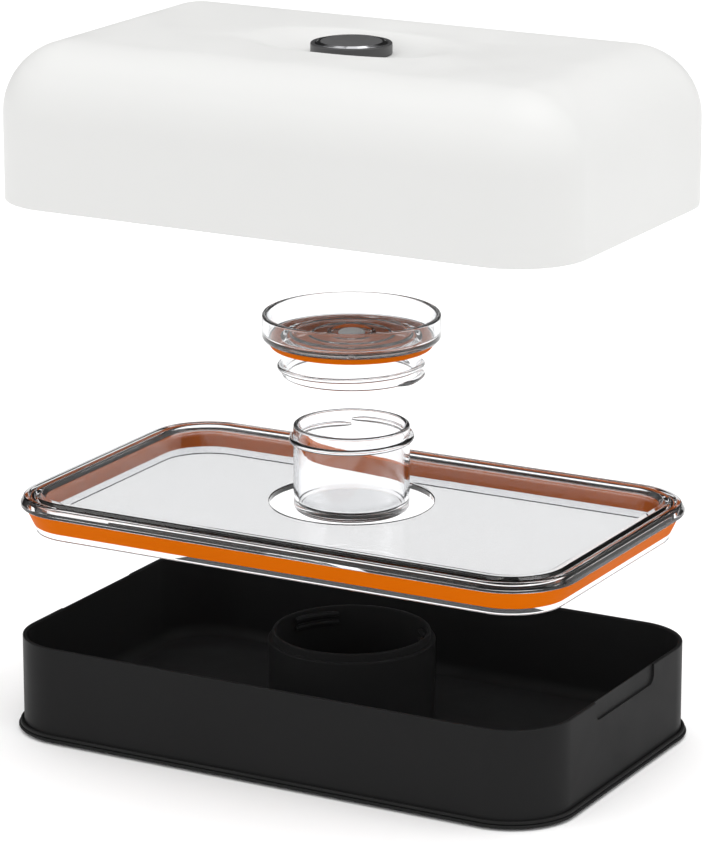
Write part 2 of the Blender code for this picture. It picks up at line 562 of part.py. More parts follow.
def build_button(face_material, rim_material, carrier_material, spring_material, rubber, group):
    turned("button_face", [(radius, BUTTON_TOP - depth) for radius, depth in FACE_DOME]
           + [(FACE_RADIUS, BUTTON_BOTTOM), (0.0, BUTTON_BOTTOM)], face_material, group, steps=PUMP_STEPS)
    bore = FACE_RADIUS + GAP
    flat = BUTTON_TOP - RIM_FLAT_DEPTH
    turned("button_rim", [(bore + 0.2, flat), (bore + RIM_FLAT, flat),
                          (BUTTON_RADIUS, BUTTON_TOP - RIM_EDGE_DEPTH),
                          (BUTTON_RADIUS, BUTTON_BOTTOM), (bore, BUTTON_BOTTOM), (bore, flat - 0.2)],
           rim_material, group, ring=True, steps=PUMP_STEPS)
    carrier_top = BUTTON_BOTTOM - GAP
    turned("button_carrier", [(0.0, carrier_top), (CARRIER_RADIUS, carrier_top),
                              (CARRIER_RADIUS, CARRIER_BOTTOM),
                              (STEM_RADIUS, CARRIER_BOTTOM), (STEM_RADIUS, PISTON_TOP + GAP),
                              (0.0, PISTON_TOP + GAP)], carrier_material, group, steps=PUMP_STEPS)
    turned("piston", [(0.0, PISTON_TOP), (PISTON_RADIUS, PISTON_TOP), (PISTON_RADIUS, PISTON_BOTTOM),
                      (0.0, PISTON_BOTTOM)], carrier_material, group, steps=PUMP_STEPS)
    turned("piston_seal", ring_profile(PISTON_RADIUS + GAP, PISTON_SEAL_RADIUS, PISTON_BOTTOM, PISTON_TOP, 0.3),
           rubber, group, ring=True, steps=PUMP_STEPS)
    low = SLEEVE_FLOOR + GAP + SPRING_WIRE
    high = CARRIER_BOTTOM - GAP - SPRING_WIRE
    points = helix_points(SPRING_RADIUS, (high - low) / SPRING_TURNS, low, 0.0, 360.0 * SPRING_TURNS, step=30.0)
    spring = wire("return_spring", points, SPRING_WIRE)
    spring.data.materials.append(spring_material)
    spring.parent = group
    PARTS.objects.link(spring)


clear_scene()
PARTS = make_collection("vacuum_food_box")
CUTTERS = make_collection("cutters")

black_plastic = make_material("black_plastic", (0.018, 0.018, 0.019), 0.35)
black_rubber = make_material("black_rubber", (0.012, 0.012, 0.012), 0.7)
clear_plastic = make_material("clear_plastic", (0.93, 0.95, 0.96), 0.05, alpha=0.35)
orange_silicone = make_material("orange_silicone", (0.72, 0.13, 0.005), 0.45)
clear_silicone = make_material("clear_silicone", (0.86, 0.87, 0.88), 0.4)
white_plastic = make_material("white_plastic", (0.83, 0.83, 0.82), 0.4)
dark_plastic = make_material("dark_plastic", (0.05, 0.05, 0.055), 0.35)
dark_metal = make_material("dark_metal", (0.16, 0.16, 0.17), 0.12, metallic=1.0)
grey_plastic = make_material("grey_plastic", (0.35, 0.36, 0.37), 0.45)
spring_steel = make_material("spring_steel", (0.6, 0.6, 0.61), 0.3, metallic=1.0)

lid_group = make_group("lid_lift", LID_LIFT)
jar_group = make_group("jar_lift", JAR_LIFT - LID_LIFT, lid_group)
cap_seal_group = make_group("cap_lift", CAP_LIFT - JAR_LIFT, jar_group)
cap_turn_group = make_group("cap_turn", 0.0, cap_seal_group)
cover_group = make_group("cover_lift", COVER_LIFT - CAP_LIFT, cap_seal_group)
button_group = make_group("button_press", 0.0, cover_group)

build_tray(black_plastic)
build_seal_and_feet(black_rubber)
build_well_tube(black_plastic)
build_inner_lid(clear_plastic, orange_silicone, lid_group)
build_jar(clear_plastic, jar_group)
build_cap(clear_plastic, orange_silicone, cap_seal_group, cap_turn_group)
build_valve(orange_silicone, clear_silicone, cap_turn_group)
build_cover(white_plastic, cover_group)
build_bezel(dark_plastic, black_rubber, cover_group)
build_pump(grey_plastic, black_rubber, clear_silicone, cover_group)
build_button(dark_plastic, dark_metal, grey_plastic, spring_steel, black_rubber, button_group)
bpy.context.view_layer.update()
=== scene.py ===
"""Vacuum food box, laid out in the air over a white table: tray, inner lid, jar, cap and cover.

Profiles are in millimetres, as (inset or radius, height, corner radius). loose_object() turns a mesh into metres.
"""
import math

import bmesh
import bpy
from mathutils import Matrix, Vector


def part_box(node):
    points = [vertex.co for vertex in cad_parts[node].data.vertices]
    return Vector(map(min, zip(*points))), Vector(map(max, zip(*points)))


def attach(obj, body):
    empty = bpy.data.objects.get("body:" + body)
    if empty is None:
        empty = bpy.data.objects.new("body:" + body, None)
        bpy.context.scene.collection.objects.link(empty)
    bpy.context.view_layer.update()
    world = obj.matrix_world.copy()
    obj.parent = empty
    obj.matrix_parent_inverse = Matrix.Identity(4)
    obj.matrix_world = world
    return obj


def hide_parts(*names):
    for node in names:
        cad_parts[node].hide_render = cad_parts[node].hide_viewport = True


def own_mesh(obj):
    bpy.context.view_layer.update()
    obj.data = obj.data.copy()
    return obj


bl_info = {
    "name": "Vacuum food box",
    "version": (1, 0, 0),
    "blender": (4, 5, 0),
    "location": "3D View > Sidebar > Food Box",
    "description": "Builds a vacuum food box with a pump button, piece by piece",
    "category": "Add Mesh",
}

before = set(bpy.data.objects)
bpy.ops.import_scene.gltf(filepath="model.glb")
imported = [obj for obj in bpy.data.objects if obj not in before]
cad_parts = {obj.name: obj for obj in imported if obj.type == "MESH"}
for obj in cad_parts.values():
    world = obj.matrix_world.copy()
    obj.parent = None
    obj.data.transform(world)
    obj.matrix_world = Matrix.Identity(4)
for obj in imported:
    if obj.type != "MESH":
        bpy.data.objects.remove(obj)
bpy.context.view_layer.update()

MM = 0.001
TURN_STEPS = 128              # round a large turned piece
CORNER_STEPS = 20             # round one corner of the tray, lid or cover
SMALL_STEPS = 48              # round a foot
VALVE_STEPS = 64              # round the check valve
COIL_STEPS = 36               # in one turn of the spring
ARC_STEP = 0.5                # longest step along a rounded profile corner
MIDDLE_REACH, END_REACH = 0.499, 0.999        # share of an edge that a corner's rounding may use
BEAD_STEP = 3.0               # degrees between the rings of a thread bead
BEAD_TIP, BEAD_SINK = 0.35, 0.6               # a bead's thickness, and its sinking into the wall, at its ends
FOOT_NUMBERS = range(1, 5)


# ---------------------------------------------------------------- sizes and colours

class FoodBoxSizes(bpy.types.PropertyGroup):
    cover_wall: bpy.props.FloatProperty(
        name="Cover wall", description="Thickness of the white cover", default=0.0024, unit='LENGTH')
    cover_fillet: bpy.props.FloatProperty(
        name="Cover edge", description="Radius of the cover's top edge", default=0.0345, unit='LENGTH')
    cover_corner: bpy.props.FloatProperty(
        name="Cover corner", description="Radius of the cover's corners from above", default=0.035,
        unit='LENGTH')
    dish_depth: bpy.props.FloatProperty(
        name="Dish depth", description="Depth of the dish round the button", default=0.0055, unit='LENGTH')
    dish_length: bpy.props.FloatProperty(
        name="Dish length", description="Length of the dish round the button", default=0.112, unit='LENGTH')
    dish_width: bpy.props.FloatProperty(
        name="Dish width", description="Width of the dish round the button", default=0.063, unit='LENGTH')
    tray_wall: bpy.props.FloatProperty(
        name="Tray wall", description="Thickness of the tray's wall", default=0.0022, unit='LENGTH')
    lid_plate: bpy.props.FloatProperty(
        name="Lid plate", description="Thickness of the inner lid's plate", default=0.003, unit='LENGTH')
    skirt_wall: bpy.props.FloatProperty(
        name="Skirt wall", description="Thickness of the inner lid's skirt", default=0.002, unit='LENGTH')
    jar_wall: bpy.props.FloatProperty(
        name="Jar wall", description="Thickness of the jar's wall", default=0.0024, unit='LENGTH')
    cup_wall: bpy.props.FloatProperty(
        name="Cup wall", description="Thickness of the cap's cup", default=0.0027, unit='LENGTH')
    thread_pitch: bpy.props.FloatProperty(
        name="Thread pitch", description="Rise of the cap's thread in one turn", default=0.0052, unit='LENGTH')


class FoodBoxColours(bpy.types.PropertyGroup):
    cover: bpy.props.FloatVectorProperty(
        name="Cover", description="Colour of the cover", subtype='COLOR', size=3, default=(0.62, 0.62, 0.612))
    tray: bpy.props.FloatVectorProperty(
        name="Tray", description="Colour of the tray and well", subtype='COLOR', size=3,
        default=(0.0135, 0.0135, 0.0137))
    gasket: bpy.props.FloatVectorProperty(
        name="Gaskets", description="Colour of the gaskets and the cap's membrane", subtype='COLOR', size=3,
        default=(0.58, 0.117, 0.0005))
    clear: bpy.props.FloatVectorProperty(
        name="Clear plastic", description="Tint of the clear plastic", subtype='COLOR', size=3,
        default=(0.925, 0.93, 0.94))
    button: bpy.props.FloatVectorProperty(
        name="Button", description="Colour of the button", subtype='COLOR', size=3,
        default=(0.085, 0.085, 0.087))


def sizes():
    """The sizes in the sidebar, in metres."""
    return bpy.context.scene.food_box_sizes


def colours():
    """The colours in the sidebar."""
    return bpy.context.scene.food_box_colours


# ---------------------------------------------------------------- shader node groups and finishes

CLEAR_IOR, SILICONE_IOR = 1.49, 1.41
CLEAR_GRAZING_SHADE = (0.47, 0.49, 0.54)               # painted shade: grey that clear plastic takes where the view grazes it, in place of dark refracted edges
SURFACES_CROSSED = 4
BEZEL_SHADE = 0.55            # the bezel's colour, as a share of the button's


def add_node(tree, kind, **settings):
    node = tree.nodes.new(kind)
    for key, value in settings.items():
        setattr(node, key, value)
    return node


def new_group(name, inputs, outputs):
    """A shader node group with named sockets; inputs are (name, kind, default)."""
    tree = bpy.data.node_groups.new(name, 'ShaderNodeTree')
    for label, kind, default in inputs:
        socket = tree.interface.new_socket(label, in_out='INPUT', socket_type=kind)
        if default is not None:
            socket.default_value = default
    for label, kind in outputs:
        tree.interface.new_socket(label, in_out='OUTPUT', socket_type=kind)
    return tree, add_node(tree, 'NodeGroupInput'), add_node(tree, 'NodeGroupOutput')


def mould_grain():
    """Fine texture that a spark-eroded mould leaves on satin plastic."""
    name = "Mould Grain"
    if name in bpy.data.node_groups:
        return bpy.data.node_groups[name]
    tree, given, result = new_group(
        name, (("Vector", 'NodeSocketVector', None), ("Scale", 'NodeSocketFloat', 1400.0)),
        (("Height", 'NodeSocketFloat'),))
    grain = add_node(tree, 'ShaderNodeTexNoise')
    grain.inputs["Detail"].default_value = 2.0
    grain.inputs["Roughness"].default_value = 0.6
    tree.links.new(given.outputs["Vector"], grain.inputs["Vector"])
    tree.links.new(given.outputs["Scale"], grain.inputs["Scale"])
    tree.links.new(grain.outputs["Fac"], result.inputs["Height"])
    return tree


def handling_marks():
    """Broad soft patches where hands have polished or dulled a surface, as a value between Low and High."""
    name = "Handling Marks"
    if name in bpy.data.node_groups:
        return bpy.data.node_groups[name]
    tree, given, result = new_group(
        name, (("Vector", 'NodeSocketVector', None), ("Scale", 'NodeSocketFloat', 22.0),
               ("Low", 'NodeSocketFloat', 0.35), ("High", 'NodeSocketFloat', 0.5)),
        (("Value", 'NodeSocketFloat'),))
    patches = add_node(tree, 'ShaderNodeTexNoise')
    patches.inputs["Detail"].default_value = 5.0
    patches.inputs["Roughness"].default_value = 0.55
    patches.inputs["Distortion"].default_value = 0.6
    spread = add_node(tree, 'ShaderNodeMapRange')
    spread.inputs["From Min"].default_value = 0.3
    spread.inputs["From Max"].default_value = 0.7
    tree.links.new(given.outputs["Vector"], patches.inputs["Vector"])
    tree.links.new(given.outputs["Scale"], patches.inputs["Scale"])
    tree.links.new(patches.outputs["Fac"], spread.inputs["Value"])
    tree.links.new(given.outputs["Low"], spread.inputs["To Min"])
    tree.links.new(given.outputs["High"], spread.inputs["To Max"])
    tree.links.new(spread.outputs["Result"], result.inputs["Value"])
    return tree


def tint_drift():
    """A slow change between two near colours, as pigment has in a moulded piece."""
    name = "Tint Drift"
    if name in bpy.data.node_groups:
        return bpy.data.node_groups[name]
    tree, given, result = new_group(
        name, (("Vector", 'NodeSocketVector', None), ("Scale", 'NodeSocketFloat', 9.0),
               ("First", 'NodeSocketColor', None), ("Second", 'NodeSocketColor', None)),
        (("Color", 'NodeSocketColor'),))
    cloud = add_node(tree, 'ShaderNodeTexNoise')
    cloud.inputs["Detail"].default_value = 3.0
    blend = add_node(tree, 'ShaderNodeMix', data_type='RGBA')
    tree.links.new(given.outputs["Vector"], cloud.inputs["Vector"])
    tree.links.new(given.outputs["Scale"], cloud.inputs["Scale"])
    tree.links.new(cloud.outputs["Fac"], blend.inputs["Factor"])
    tree.links.new(given.outputs["First"], blend.inputs[6])
    tree.links.new(given.outputs["Second"], blend.inputs[7])
    tree.links.new(blend.outputs[2], result.inputs["Color"])
    return tree


def new_material(name):
    """A material with its Principled shader, and Object coordinates to lay patterns on."""
    material = bpy.data.materials.new(name)
    material.use_nodes = True
    tree = material.node_tree
    shader = tree.nodes["Principled BSDF"]
    place = add_node(tree, 'ShaderNodeTexCoord')
    return material, tree, shader, place.outputs["Object"]


def add_group(tree, group, vector, **values):
    node = add_node(tree, 'ShaderNodeGroup', node_tree=group)
    tree.links.new(vector, node.inputs["Vector"])
    for label, value in values.items():
        node.inputs[label].default_value = value
    return node


def moulded(name, colour, low, high, grain=1400.0, bump=0.12, depth=0.00004, level=0.5, drift=0.08):
    """Satin moulded plastic or rubber: drifting pigment, handled gloss and mould grain."""
    material, tree, shader, vector = new_material(name)
    darker = tuple(channel * (1.0 - drift) for channel in colour)
    lighter = tuple(min(1.0, channel * (1.0 + drift)) for channel in colour)
    tint = add_group(tree, tint_drift(), vector, First=(*darker, 1.0), Second=(*lighter, 1.0))
    marks = add_group(tree, handling_marks(), vector, Low=low, High=high)
    height = add_group(tree, mould_grain(), vector, Scale=grain)
    relief = add_node(tree, 'ShaderNodeBump')
    relief.inputs["Strength"].default_value = bump
    relief.inputs["Distance"].default_value = depth
    tree.links.new(tint.outputs["Color"], shader.inputs["Base Color"])
    tree.links.new(marks.outputs["Value"], shader.inputs["Roughness"])
    tree.links.new(height.outputs["Height"], relief.inputs["Height"])
    tree.links.new(relief.outputs["Normal"], shader.inputs["Normal"])
    shader.inputs["Specular IOR Level"].default_value = level
    return material, tree, shader, vector


def white_satin():
    """The cover's even satin white."""
    return moulded("white_satin", colours().cover, 0.42, 0.55, grain=1100.0, level=0.35, drift=0.012)[0]


def black_satin():
    """The tray's black, with a coarser grain and hardly any gloss."""
    return moulded("black_satin", colours().tray, 0.38, 0.5, grain=900.0, bump=0.2, level=0.05, drift=0.15)[0]


def matt_rubber():
    """Black rubber of the feet, washers and seals."""
    return moulded("matt_rubber", (0.006, 0.006, 0.006), 0.55, 0.75, grain=700.0, bump=0.3, level=0.25)[0]


def gasket_silicone():
    """Orange silicone of the gaskets and the cap's membrane."""
    return moulded("gasket_silicone", colours().gasket, 0.42, 0.56, grain=600.0, bump=0.15, level=0.02,
                   drift=0.05)[0]


def dark_button():
    """Dark satin face with the fine rings that turning leaves."""
    material, tree, shader, vector = moulded("dark_button", colours().button, 0.3, 0.42, bump=0.1)
    rings = add_node(tree, 'ShaderNodeTexWave', wave_type='RINGS', rings_direction='Z')
    rings.inputs["Scale"].default_value = 420.0
    rings.inputs["Distortion"].default_value = 0.4
    relief = add_node(tree, 'ShaderNodeBump')
    relief.inputs["Strength"].default_value = 0.12
    relief.inputs["Distance"].default_value = 0.00003
    tree.links.new(vector, rings.inputs["Vector"])
    tree.links.new(rings.outputs["Fac"], relief.inputs["Height"])
    tree.links.new(relief.outputs["Normal"], shader.inputs["Normal"])
    return material


def dark_bezel():
    """Satin ring, darker than the button inside it."""
    colour = tuple(channel * BEZEL_SHADE for channel in colours().button)
    return moulded("dark_bezel", colour, 0.34, 0.46, level=0.45)[0]


def polished_rim():
    """Dark polished plating of the button's rim."""
    material, _, shader, _ = moulded("polished_rim", (0.30, 0.30, 0.31), 0.08, 0.16, bump=0.03, drift=0.04)
    shader.inputs["Metallic"].default_value = 1.0
    return material


def grey_moulded():
    """Plain grey plastic of the pump."""
    return moulded("grey_moulded", (0.30, 0.31, 0.32), 0.4, 0.5)[0]


def milky_silicone():
    """Cloudy silicone of the valves."""
    material, _, shader, _ = moulded("milky_silicone", (0.80, 0.81, 0.82), 0.3, 0.42, drift=0.03)
    shader.inputs["Transmission Weight"].default_value = 0.55
    shader.inputs["IOR"].default_value = SILICONE_IOR
    return material


def bright_spring():
    """Drawn steel wire."""
    material, _, shader, _ = moulded("bright_spring", (0.55, 0.55, 0.56), 0.22, 0.34, bump=0.05, drift=0.05)
    shader.inputs["Metallic"].default_value = 1.0
    return material


def clear_styrene():
    """Clear polystyrene with painted shade: its colour goes grey where the view grazes its surface, standing in for
    dark refracted edges.

    Light from lamps, and rays that have crossed SURFACES_CROSSED surfaces, pass straight through it.
    """
    material, tree, shader, vector = new_material("clear_styrene")
    shader.inputs["Roughness"].default_value = 0.01
    shader.inputs["Transmission Weight"].default_value = 1.0
    shader.inputs["IOR"].default_value = CLEAR_IOR
    # Painted shade: the colour darkens to grey where the surface turns edge-on to the view, in place of dark
    # refracted edges.
    edge = add_node(tree, 'ShaderNodeLayerWeight')
    edge.inputs["Blend"].default_value = 0.5
    depth = add_node(tree, 'ShaderNodeMapRange', interpolation_type='SMOOTHSTEP')
    depth.inputs["From Min"].default_value = 0.64
    depth.inputs["From Max"].default_value = 1.0
    tint = add_node(tree, 'ShaderNodeMix', data_type='RGBA')
    tint.inputs[6].default_value = (*colours().clear, 1.0)
    tint.inputs[7].default_value = (*CLEAR_GRAZING_SHADE, 1.0)
    tree.links.new(edge.outputs["Facing"], depth.inputs["Value"])
    tree.links.new(depth.outputs["Result"], tint.inputs["Factor"])
    tree.links.new(tint.outputs[2], shader.inputs["Base Color"])
    flow = add_group(tree, mould_grain(), vector, Scale=28.0)
    relief = add_node(tree, 'ShaderNodeBump')
    relief.inputs["Strength"].default_value = 0.05
    relief.inputs["Distance"].default_value = 0.0003
    tree.links.new(flow.outputs["Height"], relief.inputs["Height"])
    tree.links.new(relief.outputs["Normal"], shader.inputs["Normal"])
    through = add_node(tree, 'ShaderNodeBsdfTransparent')
    through.inputs["Color"].default_value = (0.98, 0.98, 0.98, 1.0)
    path = add_node(tree, 'ShaderNodeLightPath')
    mix = add_node(tree, 'ShaderNodeMixShader')
    output = tree.nodes["Material Output"]
    deep = add_node(tree, 'ShaderNodeMath', operation='GREATER_THAN')
    deep.inputs[1].default_value = SURFACES_CROSSED - 0.5
    either = add_node(tree, 'ShaderNodeMath', operation='MAXIMUM')
    tree.links.new(path.outputs["Transmission Depth"], deep.inputs[0])
    tree.links.new(path.outputs["Is Shadow Ray"], either.inputs[0])
    tree.links.new(deep.outputs["Value"], either.inputs[1])
    tree.links.new(either.outputs["Value"], mix.inputs[0])
    tree.links.new(shader.outputs["BSDF"], mix.inputs[1])
    tree.links.new(through.outputs["BSDF"], mix.inputs[2])
    tree.links.new(mix.outputs["Shader"], output.inputs["Surface"])
    return material


FINISHES = {
    "white_satin": (white_satin, "white_plastic"),
    "black_satin": (black_satin, "black_plastic"),
    "matt_rubber": (matt_rubber, "black_rubber"),
    "gasket_silicone": (gasket_silicone, "orange_silicone"),
    "dark_button": (dark_button, "dark_plastic"),
    "dark_bezel": (dark_bezel, "dark_plastic"),
    "polished_rim": (polished_rim, "dark_metal"),
    "grey_moulded": (grey_moulded, "grey_plastic"),
    "milky_silicone": (milky_silicone, "clear_silicone"),
    "bright_spring": (bright_spring, "spring_steel"),
    "clear_styrene": (clear_styrene, "clear_plastic"),
}


def finish_material(name):
    """One of the finishes, made the first time that a piece asks for it."""
    return bpy.data.materials.get(name) or FINISHES[name][0]()


# ---------------------------------------------------------------- shapes

def box_mm(node):
    """Lowest and highest corners of a CAD node at rest, in millimetres."""
    low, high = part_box(node)
    return low / MM, high / MM


def softened(corners, closed=False):
    """Points through (a, height, radius) corners, each rounded by its radius."""
    points = []
    count = len(corners)
    for index, (across, height, radius) in enumerate(corners):
        here = Vector((across, height))
        at_end = not closed and index in (0, count - 1)
        if radius <= 0.0 or at_end:
            points.append(here)
            continue
        before = Vector(corners[index - 1][:2]) - here
        after = Vector(corners[(index + 1) % count][:2]) - here
        opening = before.angle(after)
        back = END_REACH if not closed and index == 1 else MIDDLE_REACH
        ahead = END_REACH if not closed and index == count - 2 else MIDDLE_REACH
        reach = min(radius / math.tan(opening / 2), back * before.length, ahead * after.length)
        true_radius = reach * math.tan(opening / 2)
        first = here + before.normalized() * reach
        last = here + after.normalized() * reach
        centre = here + (before.normalized() + after.normalized()).normalized() * true_radius / math.sin(opening / 2)
        sweep = math.pi - opening
        steps = min(26, max(3, math.ceil(sweep * true_radius / ARC_STEP)))
        start = first - centre
        turn = math.copysign(sweep, start.x * (last - centre).y - start.y * (last - centre).x)
        for step in range(steps + 1):
            angle = turn * step / steps
            spoke = Vector((start.x * math.cos(angle) - start.y * math.sin(angle),
                            start.x * math.sin(angle) + start.y * math.cos(angle)))
            points.append(centre + spoke)
    return points


def add_chain(mesh, places, closed):
    """Vertices joined in a row by edges."""
    verts = [mesh.verts.new(place) for place in places]
    pairs = list(zip(verts, verts[1:])) + ([(verts[-1], verts[0])] if closed else [])
    return verts + [mesh.edges.new(pair) for pair in pairs]


def add_turned(mesh, corners, base, closed=False, steps=TURN_STEPS):
    """Spin a rounded profile of (radius, height) about the stack's axis."""
    outline = add_chain(mesh, [(point.x, 0.0, base + point.y) for point in softened(corners, closed)], closed)
    bmesh.ops.spin(mesh, geom=outline, cent=(0.0, 0.0, 0.0), axis=(0.0, 0.0, 1.0), angle=math.tau,
                   steps=steps, use_merge=True)


def only(kind, geometry):
    """The vertices, edges or faces among mixed geometry."""
    return [item for item in geometry if isinstance(item, kind)]


def add_framed(mesh, corners, base, length, width, corner, closed=False):
    """Run a rounded profile of (inset, height) round a rectangle with round corners, one quarter and its mirrors."""
    centre_x, centre_y = length / 2 - corner, width / 2 - corner
    places = [(centre_x + corner - point.x, centre_y, base + point.y) for point in softened(corners, closed)]
    quarter = bmesh.new()
    first = add_chain(quarter, places, closed)
    swept = bmesh.ops.spin(quarter, geom=first, cent=(centre_x, centre_y, 0.0), axis=(0.0, 0.0, 1.0),
                           angle=math.pi / 2, steps=CORNER_STEPS)
    for rim, offset in ((first, (0.0, -centre_y, 0.0)), (swept["geom_last"], (-centre_x, 0.0, 0.0))):
        run = bmesh.ops.extrude_edge_only(quarter, edges=only(bmesh.types.BMEdge, rim))
        bmesh.ops.translate(quarter, verts=only(bmesh.types.BMVert, run["geom"]), vec=offset)
    for axis in 'XY':
        bmesh.ops.mirror(quarter, geom=quarter.verts[:] + quarter.edges[:] + quarter.faces[:], axis=axis,
                         merge_dist=0.0001)
    data = bpy.data.meshes.new("quarter")
    quarter.to_mesh(data)
    quarter.free()
    mesh.from_mesh(data)
    bpy.data.meshes.remove(data)


def fill_flat(mesh, height):
    """Close the open edges that lie at one height, round any hole between them."""
    edges = [edge for edge in mesh.edges
             if edge.is_boundary and all(abs(vert.co.z - height) < 0.001 for vert in edge.verts)]
    bmesh.ops.triangle_fill(mesh, edges=edges, use_beauty=True, use_dissolve=False, normal=(0.0, 0.0, 1.0))


def add_bead(mesh, radius, thickness, base, pitch, start, end, fade=14.0, sides=12):
    """A helical thread bead from start to end degrees; it sinks into its wall over the last fade degrees."""
    steps = max(6, round((end - start) / BEAD_STEP))
    upright = Matrix.Rotation(math.pi / 2, 4, 'X')
    ring = bmesh.ops.create_circle(mesh, cap_ends=True, radius=thickness, segments=sides,
                                   matrix=Matrix.Translation((radius, 0.0, base)) @ upright)
    bmesh.ops.rotate(mesh, verts=ring["verts"], cent=(0.0, 0.0, 0.0),
                     matrix=Matrix.Rotation(math.radians(start), 3, 'Z'))
    outline = {face for vert in ring["verts"] for face in vert.link_faces}
    edges = {edge for face in outline for edge in face.edges}
    first = len(mesh.verts) - sides
    bmesh.ops.spin(mesh, geom=ring["verts"] + list(edges) + list(outline), cent=(0.0, 0.0, 0.0),
                   axis=(0.0, 0.0, 1.0), dvec=(0.0, 0.0, pitch * (end - start) / 360.0 / steps),
                   angle=math.radians(end - start), steps=steps)
    mesh.verts.ensure_lookup_table()
    for step in range(steps + 1):
        degrees = (end - start) * min(step, steps - step) / steps
        if degrees >= fade:
            continue
        rise = math.sin(math.pi / 2 * degrees / fade)
        around = math.radians(start + (end - start) * step / steps)
        outwards = Vector((math.cos(around), math.sin(around), 0.0))
        middle = outwards * radius + Vector((0.0, 0.0, base + pitch * (end - start) * step / steps / 360.0))
        for vert in mesh.verts[first + step * sides:first + (step + 1) * sides]:
            spread = BEAD_TIP + (1 - BEAD_TIP) * rise
            vert.co = middle + (vert.co - middle) * spread - outwards * thickness * BEAD_SINK * (1 - rise)


def outward(mesh):
    """Merge doubled vertices and turn every face outwards."""
    bmesh.ops.remove_doubles(mesh, verts=mesh.verts, dist=0.0005)
    bmesh.ops.recalc_face_normals(mesh, faces=mesh.faces)
    if mesh.calc_volume(signed=True) < 0.0:
        bmesh.ops.reverse_faces(mesh, faces=mesh.faces)


def loose_object(name, mesh):
    """An object in metres from a bmesh in millimetres, which is freed."""
    outward(mesh)
    bmesh.ops.scale(mesh, vec=(MM, MM, MM), verts=mesh.verts)
    data = bpy.data.meshes.new(name)
    mesh.to_mesh(data)
    mesh.free()
    piece = bpy.data.objects.new(name, data)
    bpy.context.scene.collection.objects.link(piece)
    return piece


def combine(piece, other, operation):
    """Join or cut with another object, apply it and drop the other."""
    boolean = piece.modifiers.new(other.name, 'BOOLEAN')
    boolean.operation = operation
    boolean.solver = 'EXACT'
    boolean.object = other
    evaluated = piece.evaluated_get(bpy.context.evaluated_depsgraph_get())
    joined = bpy.data.meshes.new_from_object(evaluated)
    piece.modifiers.clear()
    old = piece.data
    piece.data = joined
    bpy.data.meshes.remove(old)
    bpy.data.objects.remove(other, do_unlink=True)


def finish(piece, finish_name, body, *nodes, sharp=32.0):
    """Material, shading and the CAD nodes that the piece stands for."""
    data = piece.data
    data.materials.clear()
    data.materials.append(finish_material(finish_name))
    data.shade_smooth()
    data.set_sharp_from_angle(angle=math.radians(sharp))
    even = piece.modifiers.new("Even shading", 'WEIGHTED_NORMAL')
    even.keep_sharp = True
    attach(piece, body)
    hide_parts(*nodes)
    return piece


def turned_piece(name, corners, base, finish_name, body, *nodes, closed=False, steps=TURN_STEPS):
    """A finished piece that is one spun profile."""
    mesh = bmesh.new()
    add_turned(mesh, corners, base, closed, steps)
    return finish(loose_object(name, mesh), finish_name, body, *nodes)


# ---------------------------------------------------------------- pieces

